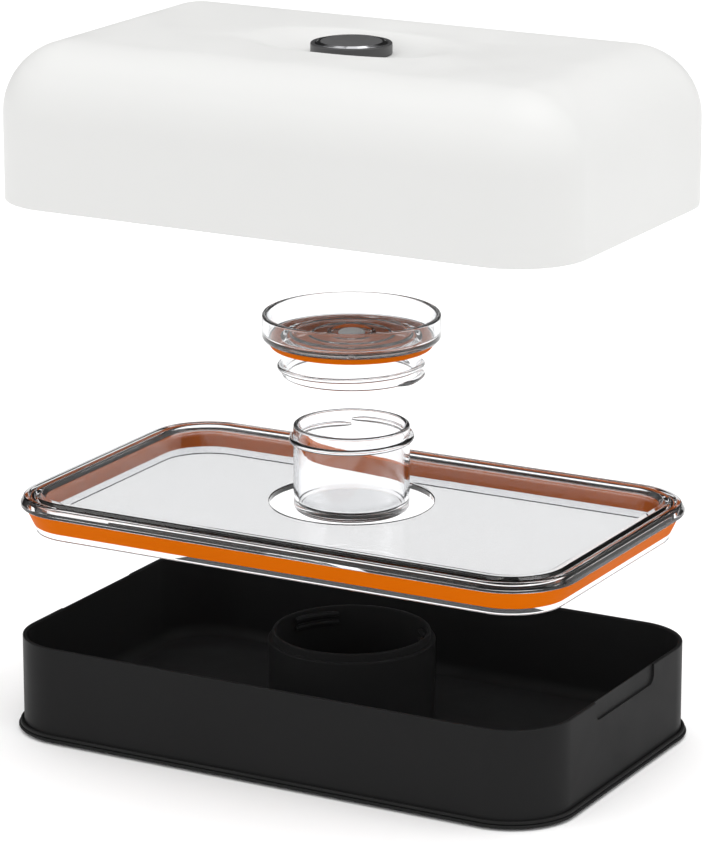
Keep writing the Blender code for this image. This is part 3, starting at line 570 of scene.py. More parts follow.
class FOODBOX_OT_tray(bpy.types.Operator):
    """Black tray: flange, wall with a thin rim, rounded floor, finger grips in both short walls"""
    bl_idname = "foodbox.tray"
    bl_label = "Tray"
    bl_options = {'REGISTER', 'UNDO'}

    flange_corner: bpy.props.FloatProperty(
        name="Flange corner", description="Radius of the flange's corners, in millimetres", default=33.8)
    wall_inset: bpy.props.FloatProperty(
        name="Wall inset", description="Wall's distance inside the flange, in millimetres", default=2.75)
    floor_top: bpy.props.FloatProperty(
        name="Floor top", description="Height of the tray's floor, in millimetres", default=3.0)
    grip_width: bpy.props.FloatProperty(
        name="Grip width", description="Length of a grip along the wall, in millimetres", default=64.0)
    grip_height: bpy.props.FloatProperty(
        name="Grip height", description="Depth of a grip below the rim, in millimetres", default=9.5)
    grip_depth: bpy.props.FloatProperty(
        name="Grip depth", description="How far a grip cuts into the wall, in millimetres", default=1.1)
    recess_radius: bpy.props.FloatProperty(
        name="Foot recess radius", description="Radius of the recess round a foot, in millimetres", default=8.3)
    recess_depth: bpy.props.FloatProperty(
        name="Foot recess depth", description="Depth of the recess above a foot, in millimetres", default=1.8)

    def execute(self, context):
        low, high = box_mm("base_tray")
        height = high.z - low.z
        inner = self.wall_inset + sizes().tray_wall / MM
        floor = self.floor_top
        corners = [(6.0, 0.0, 0.0), (1.2, 0.0, 0.5), (0.0, 0.8, 0.5), (0.0, 1.3, 0.5), (0.5, 1.8, 0.4),
                   (self.wall_inset, 1.8, 0.5), (self.wall_inset, height, 0.6), (inner, height, 0.9),
                   (inner, floor, 6.0), (inner + 8.0, floor, 0.0)]
        mesh = bmesh.new()
        add_framed(mesh, corners, low.z, high.x - low.x, high.y - low.y, self.flange_corner)
        fill_flat(mesh, low.z)
        fill_flat(mesh, low.z + floor)
        tray = loose_object("moulded_tray", mesh)
        wall_face = high.x - self.wall_inset
        for side in (1, -1):
            self.cut_grip(tray, side, wall_face, high.z)
        for number in FOOT_NUMBERS:
            self.cut_foot_recess(tray, f"base_foot_{number}")
        finish(tray, "black_satin", "base", "base_tray")
        return {'FINISHED'}

    def cut_grip(self, tray, side, wall_face, rim, block=10.0, above=0.5):
        """Cut a shallow finger grip into the outside of a short wall, from its rim down."""
        grip = bmesh.new()
        bmesh.ops.create_cube(grip, size=1.0)
        bmesh.ops.scale(grip, vec=(block, self.grip_width, 2 * (self.grip_height + above)), verts=grip.verts)
        ends = [edge for edge in grip.edges if abs(edge.verts[0].co.x - edge.verts[1].co.x) > 1.0]
        bmesh.ops.bevel(grip, geom=ends, offset=4.5, affect='EDGES', segments=6, profile=0.5, material=-1)
        bmesh.ops.translate(grip, verts=grip.verts,
                            vec=(side * (wall_face - self.grip_depth + block / 2), 0.0, rim + above))
        combine(tray, loose_object("grip_cut", grip), 'DIFFERENCE')

    def cut_foot_recess(self, tray, node, below=-2.0):
        """Cut the round recess that a foot sits in."""
        low, high = box_mm(node)
        radius, depth = self.recess_radius, self.recess_depth
        recess = bmesh.new()
        add_turned(recess, [(0.0, depth, 0.0), (radius, depth, 0.0), (radius, below, 0.0), (0.0, below, 0.0)], 0.0,
                   steps=SMALL_STEPS)
        bmesh.ops.translate(recess, verts=recess.verts,
                            vec=((low.x + high.x) / 2, (low.y + high.y) / 2, 0.0))
        combine(tray, loose_object("foot_cut", recess), 'DIFFERENCE')


class FOODBOX_OT_seal_and_feet(bpy.types.Operator):
    """Rubber ring on the tray's flange and four round feet"""
    bl_idname = "foodbox.seal_and_feet"
    bl_label = "Flange seal and feet"
    bl_options = {'REGISTER', 'UNDO'}

    seal_corner: bpy.props.FloatProperty(
        name="Seal corner", description="Radius of the seal's corners, in millimetres", default=33.0)
    seal_width: bpy.props.FloatProperty(
        name="Seal width", description="Width of the seal from above, in millimetres", default=1.65)

    def execute(self, context):
        low, high = box_mm("base_seal_ring")
        top = high.z - low.z
        mesh = bmesh.new()
        add_framed(mesh, [(0.0, 0.0, 0.2), (0.0, top, 0.7), (self.seal_width, top, 0.5),
                          (self.seal_width, 0.0, 0.2)],
                   low.z, high.x - low.x, high.y - low.y, self.seal_corner, closed=True)
        finish(loose_object("flange_seal", mesh), "matt_rubber", "base", "base_seal_ring")
        for number in FOOT_NUMBERS:
            low, high = box_mm(f"base_foot_{number}")
            radius, height = (high.x - low.x) / 2, high.z - low.z
            mesh = bmesh.new()
            add_turned(mesh, [(0.0, height, 0.0), (radius, height, 0.3), (radius, 0.0, 0.4), (0.0, 0.0, 0.0)], low.z,
                       steps=SMALL_STEPS)
            bmesh.ops.translate(mesh, verts=mesh.verts, vec=((low.x + high.x) / 2, (low.y + high.y) / 2, 0.0))
            finish(loose_object(f"rubber_foot_{number}", mesh), "matt_rubber", "base", f"base_foot_{number}")
        return {'FINISHED'}


class FOODBOX_OT_well(bpy.types.Operator):
    """Tube in the middle of the tray, with a thin lip and lugs for the cap's quick thread"""
    bl_idname = "foodbox.well"
    bl_label = "Well tube"
    bl_options = {'REGISTER', 'UNDO'}

    bore: bpy.props.FloatProperty(
        name="Bore radius", description="Inner radius of the tube, in millimetres", default=37.0)
    lip_radius: bpy.props.FloatProperty(
        name="Lip radius", description="Outer radius of the thin lip, in millimetres", default=38.6)
    lip_height: bpy.props.FloatProperty(
        name="Lip height", description="Height of the thin lip, in millimetres", default=3.9)
    lug_centre: bpy.props.FloatProperty(
        name="Lug radius", description="Distance of the lugs' middle from the axis, in millimetres", default=36.0)
    lug_bead: bpy.props.FloatProperty(
        name="Lug thickness", description="Half thickness of a lug, in millimetres", default=1.4)
    lug_spacing: bpy.props.FloatProperty(
        name="Lug spacing", description="Height between a pair of lugs, in millimetres", default=4.2)

    def execute(self, context):
        low, high = box_mm("well_tube")
        radius, height = high.x, high.z - low.z
        shoulder = height - self.lip_height
        mesh = bmesh.new()
        add_turned(mesh, [(self.lip_radius, height, 0.5), (self.lip_radius, shoulder, 0.3), (radius, shoulder, 0.6),
                          (radius, 0.0, 0.3), (self.bore, 0.0, 0.3), (self.bore, height, 0.5)], low.z, closed=True)
        pitch = sizes().thread_pitch / MM
        for start, end, lift in ((33.0, 50.0, 37.8), (129.0, 170.0, 39.2)):
            for level in (0.0, self.lug_spacing):
                add_bead(mesh, self.lug_centre, self.lug_bead, low.z + lift + level, pitch, start, end, fade=4.0)
        finish(loose_object("well", mesh), "black_satin", "base", "well_tube")
        return {'FINISHED'}


class FOODBOX_OT_inner_lid(bpy.types.Operator):
    """Clear inner lid: thin plate with a round hole, double raised rim, flange and skirt"""
    bl_idname = "foodbox.inner_lid"
    bl_label = "Inner lid"
    bl_options = {'REGISTER', 'UNDO'}

    corner: bpy.props.FloatProperty(
        name="Lid corner", description="Radius of the lid's corners, in millimetres", default=33.5)
    hole: bpy.props.FloatProperty(
        name="Hole radius", description="Radius of the cap's hole, in millimetres", default=39.85)
    skirt_inset: bpy.props.FloatProperty(
        name="Skirt inset", description="Skirt's distance inside the flange, in millimetres", default=7.1)
    plate_drop: bpy.props.FloatProperty(
        name="Plate drop", description="Plate's depth below the rim, in millimetres", default=2.3)
    plate_inset: bpy.props.FloatProperty(
        name="Plate inset", description="Where the flat plate begins, in millimetres", default=14.0)
    hole_land: bpy.props.FloatProperty(
        name="Hole land", description="Flat strip turned round the hole, in millimetres", default=2.0)

    def execute(self, context):
        low, high = box_mm("inner_lid")
        rim = high.z - low.z
        plate_top = rim - self.plate_drop
        plate_bottom = plate_top - sizes().lid_plate / MM
        flange = plate_bottom - 0.6
        inner = self.skirt_inset + sizes().skirt_wall / MM
        corners = [(self.plate_inset, plate_top, 0.0), (12.2, plate_top, 0.5), (10.8, rim, 1.0), (7.4, rim, 1.6),
                   (5.4, rim - 1.6, 0.8), (3.9, rim - 0.6, 1.0), (1.8, rim - 0.8, 1.2), (0.0, rim - 4.0, 1.2),
                   (0.0, flange, 0.5), (self.skirt_inset, flange, 0.2), (self.skirt_inset, 0.0, 0.9),
                   (inner, 0.0, 0.9), (inner, plate_bottom, 0.8), (self.plate_inset, plate_bottom, 0.0)]
        mesh = bmesh.new()
        add_framed(mesh, corners, low.z, high.x - low.x, high.y - low.y, self.corner)
        land = self.hole + self.hole_land
        add_turned(mesh, [(land, plate_top, 0.0), (self.hole, plate_top, 0.5), (self.hole, plate_bottom, 0.5),
                          (land, plate_bottom, 0.0)], low.z)
        fill_flat(mesh, low.z + plate_top)
        fill_flat(mesh, low.z + plate_bottom)
        finish(loose_object("clear_lid", mesh), "clear_styrene", "lid", "inner_lid")
        return {'FINISHED'}


class FOODBOX_OT_gaskets(bpy.types.Operator):
    """Orange wedge seals under the lid's flange and under the cap's cup"""
    bl_idname = "foodbox.gaskets"
    bl_label = "Orange gaskets"
    bl_options = {'REGISTER', 'UNDO'}

    corner: bpy.props.FloatProperty(
        name="Lid gasket corner", description="Radius of the lid gasket's corners, in millimetres", default=31.2)
    cap_bore: bpy.props.FloatProperty(
        name="Cap gasket bore", description="Inner radius of the cap's gasket, in millimetres", default=34.0)

    def execute(self, context):
        low, high = box_mm("lid_gasket")
        height = high.z - low.z
        mesh = bmesh.new()
        add_framed(mesh, [(4.0, 0.0, 0.15), (0.0, height - 0.3, 0.3), (0.3, height, 0.2), (4.5, height, 0.2),
                          (4.5, 0.0, 0.1)], low.z, high.x - low.x, high.y - low.y, self.corner, closed=True)
        finish(loose_object("lid_wedge_gasket", mesh), "gasket_silicone", "lid", "lid_gasket", sharp=50.0)
        low, high = box_mm("cap_gasket")
        height = high.z - low.z
        turned_piece("cap_wedge_gasket", [(high.x, height, 0.2), (high.x, height - 0.65, 0.2),
                                          (high.x - 1.3, height - 1.0, 0.2), (high.x - 1.75, 0.0, 0.4),
                                          (self.cap_bore, 0.0, 0.2), (self.cap_bore, height, 0.2)], low.z,
                     "gasket_silicone", "cap_seal", "cap_gasket", closed=True)
        return {'FINISHED'}


class FOODBOX_OT_jar(bpy.types.Operator):
    """Small clear jar with one thread bead under its rim"""
    bl_idname = "foodbox.jar"
    bl_label = "Jar"
    bl_options = {'REGISTER', 'UNDO'}

    radius: bpy.props.FloatProperty(
        name="Body radius", description="Outer radius of the jar, in millimetres", default=28.15)
    floor: bpy.props.FloatProperty(
        name="Floor thickness", description="Thickness of the jar's floor, in millimetres", default=3.4)
    thread_height: bpy.props.FloatProperty(
        name="Thread height", description="Height where the bead starts, in millimetres", default=34.3)
    thread_centre: bpy.props.FloatProperty(
        name="Thread radius", description="Distance of the bead's middle from the axis, in millimetres", default=28.9)
    thread_bead: bpy.props.FloatProperty(
        name="Thread thickness", description="Half thickness of the bead, in millimetres", default=1.4)
    thread_rise: bpy.props.FloatProperty(
        name="Thread rise", description="Rise of the bead in its one turn, in millimetres", default=2.6)
    thread_start: bpy.props.FloatProperty(
        name="Thread start", description="Where round the jar the bead starts, in degrees", default=119.0)

    def execute(self, context):
        low, high = box_mm("jar")
        height = high.z - low.z
        bore = self.radius - sizes().jar_wall / MM
        jar_mesh = bmesh.new()
        add_turned(jar_mesh, [(0.0, self.floor, 0.0), (bore, self.floor, 2.4), (bore, height, 1.0),
                              (self.radius, height, 1.1), (self.radius, 0.0, 2.8), (0.0, 0.0, 0.0)], low.z)
        jar = loose_object("clear_jar", jar_mesh)
        bead = bmesh.new()
        add_bead(bead, self.thread_centre, self.thread_bead, low.z + self.thread_height, self.thread_rise,
                 self.thread_start, self.thread_start + 360.0)
        combine(jar, loose_object("jar_thread", bead), 'UNION')
        finish(jar, "clear_styrene", "jar", "jar")
        return {'FINISHED'}


class FOODBOX_OT_cap(bpy.types.Operator):
    """Clear screw cap: cup, ringed floor and threaded neck, with a milky check valve in the middle"""
    bl_idname = "foodbox.cap"
    bl_label = "Screw cap"
    bl_options = {'REGISTER', 'UNDO'}

    cup_height: bpy.props.FloatProperty(
        name="Cup height", description="Height of the cup above its foot, in millimetres", default=12.5)
    floor: bpy.props.FloatProperty(
        name="Floor thickness", description="Thickness of the cup's floor, in millimetres", default=2.2)
    neck: bpy.props.FloatProperty(
        name="Neck radius", description="Outer radius of the neck, in millimetres", default=33.7)
    neck_wall: bpy.props.FloatProperty(
        name="Neck wall", description="Thickness of the neck's wall, in millimetres", default=2.4)
    neck_bottom: bpy.props.FloatProperty(
        name="Neck depth", description="How far the neck reaches below the cup, in millimetres", default=17.7)
    valve_hole: bpy.props.FloatProperty(
        name="Valve hole", description="Radius of the hole for the valve's stem, in millimetres", default=2.0)
    ridge_centre: bpy.props.FloatProperty(
        name="Ridge radius", description="Distance of the ridges' middle from the axis, in millimetres", default=34.5)
    ridge_bead: bpy.props.FloatProperty(
        name="Ridge thickness", description="Half thickness of a ridge, in millimetres", default=1.3)
    ridge_start: bpy.props.FloatProperty(
        name="Ridge start", description="Where the long ridge starts, in degrees", default=173.0)
    ridge_depth: bpy.props.FloatProperty(
        name="Ridge depth", description="How far below the cup the long ridge starts, in millimetres", default=14.1)

    def execute(self, context):
        self.add_cap()
        self.add_membrane_and_valve()
        return {'FINISHED'}

    def add_cap(self):
        """Cup with three rings on its floor, and a neck with ridges for the well's lugs."""
        high = box_mm("cap_body")[1]
        radius = high.x
        bottom = high.z - self.cup_height
        floor, cup_top = self.floor, self.cup_height
        cup_bore = radius - sizes().cup_wall / MM
        neck_bore = self.neck - self.neck_wall
        down, hole = -self.neck_bottom, self.valve_hole
        corners = [(radius, cup_top, 1.3), (radius, 0.0, 1.8), (self.neck, 0.0, 0.4), (self.neck, down, 1.2),
                   (neck_bore, down, 0.8), (neck_bore, 0.0, 0.8), (hole, 0.0, 0.2), (hole, floor, 0.2),
                   (10.0, floor, 0.3), (10.2, floor + 2.0, 0.6), (11.4, floor + 2.0, 0.6), (11.7, floor, 0.4),
                   (18.6, floor, 0.4), (19.0, floor + 0.7, 0.4), (20.6, floor + 0.7, 0.4), (21.0, floor, 0.4),
                   (27.0, floor, 0.4), (27.4, floor + 1.2, 0.5), (29.1, floor + 1.2, 0.5), (29.5, floor, 0.4),
                   (cup_bore, floor, 1.8), (cup_bore, cup_top, 1.3)]
        mesh = bmesh.new()
        add_turned(mesh, corners, bottom, closed=True)
        cap = loose_object("clear_cap", mesh)
        pitch = sizes().thread_pitch / MM
        for start, end in ((-20.0, 30.0), (53.0, 126.0), (self.ridge_start, self.ridge_start + 217.0)):
            bead = bmesh.new()
            height = bottom - self.ridge_depth + pitch * (start - self.ridge_start) / 360.0
            add_bead(bead, self.ridge_centre, self.ridge_bead, height, pitch, start, end)
            combine(cap, loose_object("cap_thread", bead), 'UNION')
        finish(cap, "clear_styrene", "cap", "cap_body")

    def add_membrane_and_valve(self):
        """Orange disc under the cup's floor and the milky valve through its middle."""
        low, high = box_mm("cap_membrane")
        thick, hole = high.z - low.z, self.valve_hole
        turned_piece("valve_membrane", [(high.x, thick, 0.2), (high.x, 0.0, 0.2), (hole, 0.0, 0.1),
                                        (hole, thick, 0.1)], low.z, "gasket_silicone", "cap", "cap_membrane",
                     closed=True)
        low, high = box_mm("cap_valve")
        top = high.z - low.z
        turned_piece("check_valve", [(0.0, top, 0.0), (5.6, top - 0.3, 1.2), (7.0, top - 1.5, 0.3),
                                     (1.7, top - 1.5, 0.3), (1.7, 1.8, 0.2), (2.6, 1.6, 0.2), (2.6, 1.2, 0.3),
                                     (1.2, 0.0, 0.3), (0.0, 0.0, 0.0)], low.z, "milky_silicone", "cap", "cap_valve",
                     steps=VALVE_STEPS)


class FOODBOX_OT_cover(bpy.types.Operator):
    """White cover with a deep rounded edge and a shallow dish round the button"""
    bl_idname = "foodbox.cover"
    bl_label = "Cover"
    bl_options = {'REGISTER', 'UNDO'}

    hole: bpy.props.FloatProperty(
        name="Button hole radius", description="Radius of the hole for the button, in millimetres", default=18.05)
    seat: bpy.props.FloatProperty(
        name="Seat radius", description="Radius of the flat seat round the hole, in millimetres", default=21.0)
    squareness: bpy.props.FloatProperty(
        name="Squareness of the dish", description="2 is an oval, and more is squarer", default=2.6)

    def execute(self, context):
        low, high = box_mm("cover_shell")
        height = high.z - low.z
        wall, fillet = sizes().cover_wall / MM, sizes().cover_fillet / MM
        ceiling = height - wall
        mesh = bmesh.new()
        add_framed(mesh, [(fillet, height, 0.0), (0.0, height, fillet), (0.0, 0.0, 0.6), (wall, 0.0, 0.6),
                          (wall, ceiling, fillet - wall), (fillet, ceiling, 0.0)], low.z,
                   high.x - low.x, high.y - low.y, sizes().cover_corner / MM)
        depth = sizes().dish_depth / MM
        self.add_dish(mesh, high.z, depth)
        self.add_dish(mesh, low.z + ceiling, depth)
        add_turned(mesh, [(self.seat, height - depth, 0.0), (self.hole, height - depth, 0.3),
                          (self.hole, ceiling - depth, 0.3), (self.seat, ceiling - depth, 0.0)], low.z)
        bmesh.ops.remove_doubles(mesh, verts=mesh.verts, dist=0.001)
        fill_flat(mesh, high.z)
        fill_flat(mesh, low.z + ceiling)
        finish(loose_object("white_cover", mesh), "white_satin", "cover", "cover_shell")
        return {'FINISHED'}

    def add_dish(self, mesh, height, depth, steps=18):
        """Slope from a long rounded outline down to the round seat, as loops joined by bridges."""
        half_length, half_width = sizes().dish_length / MM / 2, sizes().dish_width / MM / 2
        previous = None
        for step in range(steps + 1):
            part = step / steps
            sink = depth * part * part * (3 - 2 * part)
            places = []
            for turn in range(TURN_STEPS):
                angle = math.tau * turn / TURN_STEPS
                across, along = math.cos(angle), math.sin(angle)
                reach = (abs(across / half_length) ** self.squareness
                         + abs(along / half_width) ** self.squareness) ** (-1 / self.squareness)
                radius = reach + (self.seat - reach) * part
                places.append((radius * across, radius * along, height - sink))
            loop = only(bmesh.types.BMEdge, add_chain(mesh, places, True))
            if previous:
                bmesh.ops.bridge_loops(mesh, edges=previous + loop)
            previous = loop


class FOODBOX_OT_button(bpy.types.Operator):
    """Dark bezel, domed button face and its polished rim"""
    bl_idname = "foodbox.button"
    bl_label = "Button"
    bl_options = {'REGISTER', 'UNDO'}

    sleeve: bpy.props.FloatProperty(
        name="Sleeve radius", description="Outer radius of the bezel's sleeve, in millimetres", default=17.75)
    sleeve_bore: bpy.props.FloatProperty(
        name="Sleeve bore", description="Inner radius of the bezel's sleeve, in millimetres", default=15.2)
    ring_height: bpy.props.FloatProperty(
        name="Ring height", description="Height of the bezel's visible ring, in millimetres", default=5.1)
    well_depth: bpy.props.FloatProperty(
        name="Button well depth", description="Depth of the well that holds the button, in millimetres", default=4.2)
    well_radius: bpy.props.FloatProperty(
        name="Button well radius", description="Radius of the well that holds the button, in millimetres",
        default=17.15)

    def execute(self, context):
        low, high = box_mm("knob_bezel")
        radius, height = high.x, high.z - low.z
        ring_bottom, well_floor = height - self.ring_height, height - self.well_depth
        turned_piece("button_bezel", [(radius, height, 0.6), (radius, ring_bottom, 0.2),
                                      (self.sleeve, ring_bottom, 0.2), (self.sleeve, 0.0, 0.3), (3.3, 0.0, 0.2),
                                      (3.3, 1.4, 0.2), (self.sleeve_bore, 1.4, 0.2),
                                      (self.sleeve_bore, well_floor, 0.1), (self.well_radius, well_floor, 0.1),
                                      (self.well_radius, height, 0.5)],
                     low.z, "dark_bezel", "cover", "knob_bezel", closed=True)
        low, high = box_mm("button_face")
        radius, height = high.x, high.z - low.z
        turned_piece("button_disc", [(0.0, height, 0.0), (radius * 0.55, height - 0.12, 3.0),
                                     (radius, height - 0.55, 0.3), (radius, 0.0, 0.2), (0.0, 0.0, 0.0)],
                     low.z, "dark_button", "button", "button_face")
        low, high = box_mm("button_rim")
        radius, height = high.x, high.z - low.z
        turned_piece("button_polished_rim", [(radius - 1.3, height, 0.2), (radius, height - 0.9, 0.3),
                                             (radius, 0.0, 0.1), (15.0, 0.0, 0.1), (15.0, height - 0.1, 0.1)],
                     low.z, "polished_rim", "button", "button_rim", closed=True)
        return {'FINISHED'}


class FOODBOX_OT_pump(bpy.types.Operator):
    """Pump under the cover: washer, nut, housing and nozzle seal, with finishes for the pieces inside"""
    bl_idname = "foodbox.pump"
    bl_label = "Pump"
    bl_options = {'REGISTER', 'UNDO'}

    sleeve_bore: bpy.props.FloatProperty(
        name="Sleeve bore", description="Radius of the holes round the bezel's sleeve, in millimetres", default=18.05)
    cylinder_bore: bpy.props.FloatProperty(
        name="Cylinder bore", description="Inner radius of the pump, in millimetres", default=14.6)
    cylinder_floor: bpy.props.FloatProperty(
        name="Cylinder floor", description="Thickness of the pump's floor, in millimetres", default=1.6)
    port: bpy.props.FloatProperty(
        name="Port radius", description="Radius of the air port in the pump's floor, in millimetres", default=1.5)
    nozzle_bore: bpy.props.FloatProperty(
        name="Nozzle seal bore", description="Inner radius of the nozzle's seal, in millimetres", default=9.0)
    spring_wire: bpy.props.FloatProperty(
        name="Spring wire radius", description="Radius of the spring's wire, in millimetres", default=0.45)
    spring_turns: bpy.props.FloatProperty(
        name="Spring turns", description="Number of turns in the spring", default=4.0)

    def execute(self, context):
        self.add_ring("under_washer", "bezel_washer", self.sleeve_bore, 0.2)
        low, high = box_mm("pump_housing")
        radius, height = high.x, high.z - low.z
        bore, floor, collar = self.cylinder_bore, self.cylinder_floor, height - 1.3
        turned_piece("pump_cylinder", [(radius, height, 0.4), (radius, 0.0, 0.9), (self.port, 0.0, 0.2),
                                       (self.port, floor, 0.2), (bore, floor, 0.3), (bore, collar, 0.2),
                                       (self.sleeve_bore, collar, 0.2), (self.sleeve_bore, height, 0.3)],
                     low.z, "grey_moulded", "cover", "pump_housing", closed=True)
        self.add_ring("pump_nozzle_seal", "nozzle_seal", self.nozzle_bore, 0.3)
        self.add_nut()
        self.add_spring()
        for node, name in (("button_carrier", "grey_moulded"), ("piston", "grey_moulded"),
                           ("piston_seal", "matt_rubber"), ("valve_flap", "milky_silicone")):
            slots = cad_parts[node].material_slots
            slots[0].material = finish_material(name)
        return {'FINISHED'}

    def add_ring(self, name, node, bore, edge):
        """A flat rubber ring with rounded edges."""
        low, high = box_mm(node)
        height = high.z - low.z
        turned_piece(name, [(high.x, height, edge), (high.x, 0.0, edge), (bore, 0.0, edge), (bore, height, edge)],
                     low.z, "matt_rubber", "cover", node, closed=True)

    def add_nut(self):
        """Flat hexagonal nut that clamps the bezel under the cover."""
        low, high = box_mm("bezel_nut")
        mesh = bmesh.new()
        bmesh.ops.create_cone(mesh, cap_ends=True, segments=6, radius1=high.y, radius2=high.y, depth=high.z - low.z)
        bmesh.ops.bevel(mesh, geom=mesh.edges[:], offset=0.35, affect='EDGES', segments=3, profile=0.5, material=-1)
        bmesh.ops.translate(mesh, verts=mesh.verts, vec=(0.0, 0.0, (low.z + high.z) / 2))
        nut = loose_object("bezel_hex_nut", mesh)
        bore = bmesh.new()
        top, bottom = 6.0, -4.0
        add_turned(bore, [(0.0, top, 0.0), (self.sleeve_bore, top, 0.0), (self.sleeve_bore, bottom, 0.0),
                          (0.0, bottom, 0.0)], low.z)
        combine(nut, loose_object("nut_bore", bore), 'DIFFERENCE')
        finish(nut, "dark_bezel", "cover", "bezel_nut")

    def add_spring(self):
        """Coil of round wire under the button, which moves with the button."""
        low, high = box_mm("return_spring")
        wire = self.spring_wire
        rise = high.z - low.z - 2 * wire
        steps = round(self.spring_turns * COIL_STEPS)
        upright = Matrix.Rotation(math.pi / 2, 4, 'X')
        mesh = bmesh.new()
        ring = bmesh.ops.create_circle(mesh, cap_ends=True, radius=wire, segments=10,
                                       matrix=Matrix.Translation((high.x - wire, 0.0, low.z + wire)) @ upright)
        ends = {face for vert in ring["verts"] for face in vert.link_faces}
        edges = {edge for face in ends for edge in face.edges}
        bmesh.ops.spin(mesh, geom=ring["verts"] + list(edges) + list(ends), cent=(0.0, 0.0, 0.0),
                       axis=(0.0, 0.0, 1.0), dvec=(0.0, 0.0, rise / steps),
                       angle=math.tau * self.spring_turns, steps=steps)
        coil = finish(loose_object("button_spring", mesh), "bright_spring", "button", "return_spring")
        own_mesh(coil)


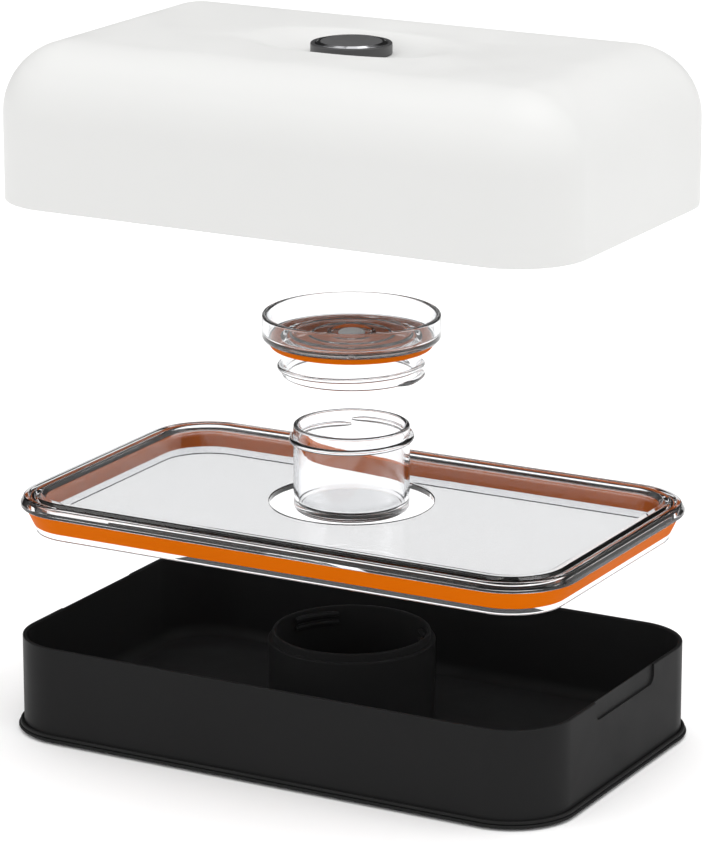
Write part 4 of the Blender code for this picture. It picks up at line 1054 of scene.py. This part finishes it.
class FOODBOX_OT_stage(bpy.types.Operator):
    """White table, soft studio light and the camera"""
    bl_idname = "foodbox.stage"
    bl_label = "Stage"
    bl_options = {'REGISTER', 'UNDO'}

    dome: bpy.props.FloatProperty(
        name="Dome strength", description="Even light on the matt surfaces", default=1.2)
    dark: bpy.props.FloatProperty(
        name="Room strength", description="Light of the room that gloss and clear plastic show", default=0.47)

    def execute(self, context):
        self.add_table(context)
        world = bpy.data.worlds.new("studio")
        context.scene.world = world
        world.use_nodes = True
        self.studio_sky(world.node_tree)
        self.add_light(context, "overhead", (0.5, 0.1, 2.6), 2.0, 20.0)
        self.add_camera(context)
        context.scene.view_settings.view_transform = 'Standard'
        return {'FINISHED'}

    def add_table(self, context):
        """Wide matt white table, just under the feet."""
        mesh = bmesh.new()
        bmesh.ops.create_grid(mesh, x_segments=1, y_segments=1, size=8.0)
        data = bpy.data.meshes.new("table")
        mesh.to_mesh(data)
        mesh.free()
        table = bpy.data.objects.new("table", data)
        table.location.z = -0.0001
        context.scene.collection.objects.link(table)
        white = bpy.data.materials.new("table_white")
        white.use_nodes = True
        shader = white.node_tree.nodes["Principled BSDF"]
        shader.inputs["Base Color"].default_value = (0.95, 0.95, 0.95, 1.0)
        shader.inputs["Roughness"].default_value = 0.9
        shader.inputs["Specular IOR Level"].default_value = 0.0
        data.materials.append(white)

    def add_camera(self, context):
        """Long lens in front of the right corner, looking slightly down."""
        data = bpy.data.cameras.new("view")
        data.lens = 180.36
        data.sensor_width = 36.0
        camera = bpy.data.objects.new("view", data)
        camera.location = (0.9510, -1.7222, 0.7073)
        camera.rotation_euler = (math.radians(74.32), 0.0, math.radians(28.79))
        context.scene.collection.objects.link(camera)
        context.scene.camera = camera

    def studio_sky(self, tree):
        """An even dome lights the matt surfaces; gloss and clear plastic see a dark room with softboxes."""
        place = add_node(tree, 'ShaderNodeTexCoord')
        room = self.dark
        for direction, inner, outer, strength in self.softboxes():
            facing = add_node(tree, 'ShaderNodeVectorMath', operation='DOT_PRODUCT')
            facing.inputs[1].default_value = Vector(direction).normalized()
            tree.links.new(place.outputs["Generated"], facing.inputs[0])
            mask = add_node(tree, 'ShaderNodeMapRange', interpolation_type='SMOOTHSTEP')
            mask.inputs["From Min"].default_value = math.cos(math.radians(outer))
            mask.inputs["From Max"].default_value = math.cos(math.radians(inner))
            mask.inputs["To Max"].default_value = strength
            tree.links.new(facing.outputs["Value"], mask.inputs["Value"])
            total = add_node(tree, 'ShaderNodeMath', operation='ADD')
            tree.links.new(mask.outputs["Result"], total.inputs[0])
            if isinstance(room, float):
                total.inputs[1].default_value = room
            else:
                tree.links.new(room, total.inputs[1])
            room = total.outputs["Value"]
        path = add_node(tree, 'ShaderNodeLightPath')
        blend = add_node(tree, 'ShaderNodeMix', data_type='FLOAT')
        blend.inputs[3].default_value = self.dome
        tree.links.new(path.outputs["Is Diffuse Ray"], blend.inputs[0])
        tree.links.new(room, blend.inputs[2])
        background = tree.nodes["Background"]
        background.inputs["Color"].default_value = (1.0, 1.0, 1.0, 1.0)
        tree.links.new(blend.outputs[0], background.inputs["Strength"])

    def softboxes(self):
        """Direction, angle of full strength, angle where it ends, strength; the last one darkens the back."""
        return (((0.42, 0.23, 1.0), 17.0, 22.0, 1.6),
                ((-0.42, -0.23, 1.0), 17.0, 22.0, 1.6),
                ((-1.0, -0.9, 0.35), 20.0, 27.0, 1.3),
                ((1.0, 0.25, 0.5), 12.0, 18.0, 1.2),
                ((-0.48, 0.88, 0.25), 35.0, 55.0, -0.43))

    def add_light(self, context, name, place, size, power):
        """Round soft light that faces the box."""
        data = bpy.data.lights.new(name, 'AREA')
        data.shape = 'DISK'
        data.size = size
        data.energy = power
        light = bpy.data.objects.new(name, data)
        light.location = place
        light.rotation_euler = (Vector((0.0, 0.0, 0.15)) - Vector(place)).to_track_quat('-Z', 'Y').to_euler()
        context.scene.collection.objects.link(light)


class FOODBOX_PT_panel(bpy.types.Panel):
    """Buttons that build the box piece by piece"""
    bl_label = "Vacuum food box"
    bl_idname = "FOODBOX_PT_panel"
    bl_space_type = 'VIEW_3D'
    bl_region_type = 'UI'
    bl_category = "Food Box"

    def draw(self, context):
        layout = self.layout
        for operator in PIECES:
            layout.operator(operator.bl_idname)
        for settings in (context.scene.food_box_sizes, context.scene.food_box_colours):
            column = layout.column(align=True)
            for key in settings.__annotations__:
                column.prop(settings, key)


PIECES = (FOODBOX_OT_tray, FOODBOX_OT_seal_and_feet, FOODBOX_OT_well, FOODBOX_OT_inner_lid, FOODBOX_OT_gaskets,
          FOODBOX_OT_jar, FOODBOX_OT_cap, FOODBOX_OT_cover, FOODBOX_OT_button, FOODBOX_OT_pump, FOODBOX_OT_stage)
CLASSES = (FoodBoxSizes, FoodBoxColours) + PIECES + (FOODBOX_PT_panel,)


def register():
    """Make the operators, the panel and the sidebar's settings known to Blender."""
    for item in CLASSES:
        bpy.utils.register_class(item)
    bpy.types.Scene.food_box_sizes = bpy.props.PointerProperty(type=FoodBoxSizes)
    bpy.types.Scene.food_box_colours = bpy.props.PointerProperty(type=FoodBoxColours)


def unregister():
    """Undo register()."""
    del bpy.types.Scene.food_box_colours
    del bpy.types.Scene.food_box_sizes
    for item in reversed(CLASSES):
        bpy.utils.unregister_class(item)


def main():
    """Build every piece and the stage."""
    register()
    bpy.ops.foodbox.tray()
    bpy.ops.foodbox.seal_and_feet()
    bpy.ops.foodbox.well()
    bpy.ops.foodbox.inner_lid()
    bpy.ops.foodbox.gaskets()
    bpy.ops.foodbox.jar()
    bpy.ops.foodbox.cap()
    bpy.ops.foodbox.cover()
    bpy.ops.foodbox.button()
    bpy.ops.foodbox.pump()
    bpy.ops.foodbox.stage()
    bpy.context.view_layer.update()


if __name__ == "__main__":
    main()
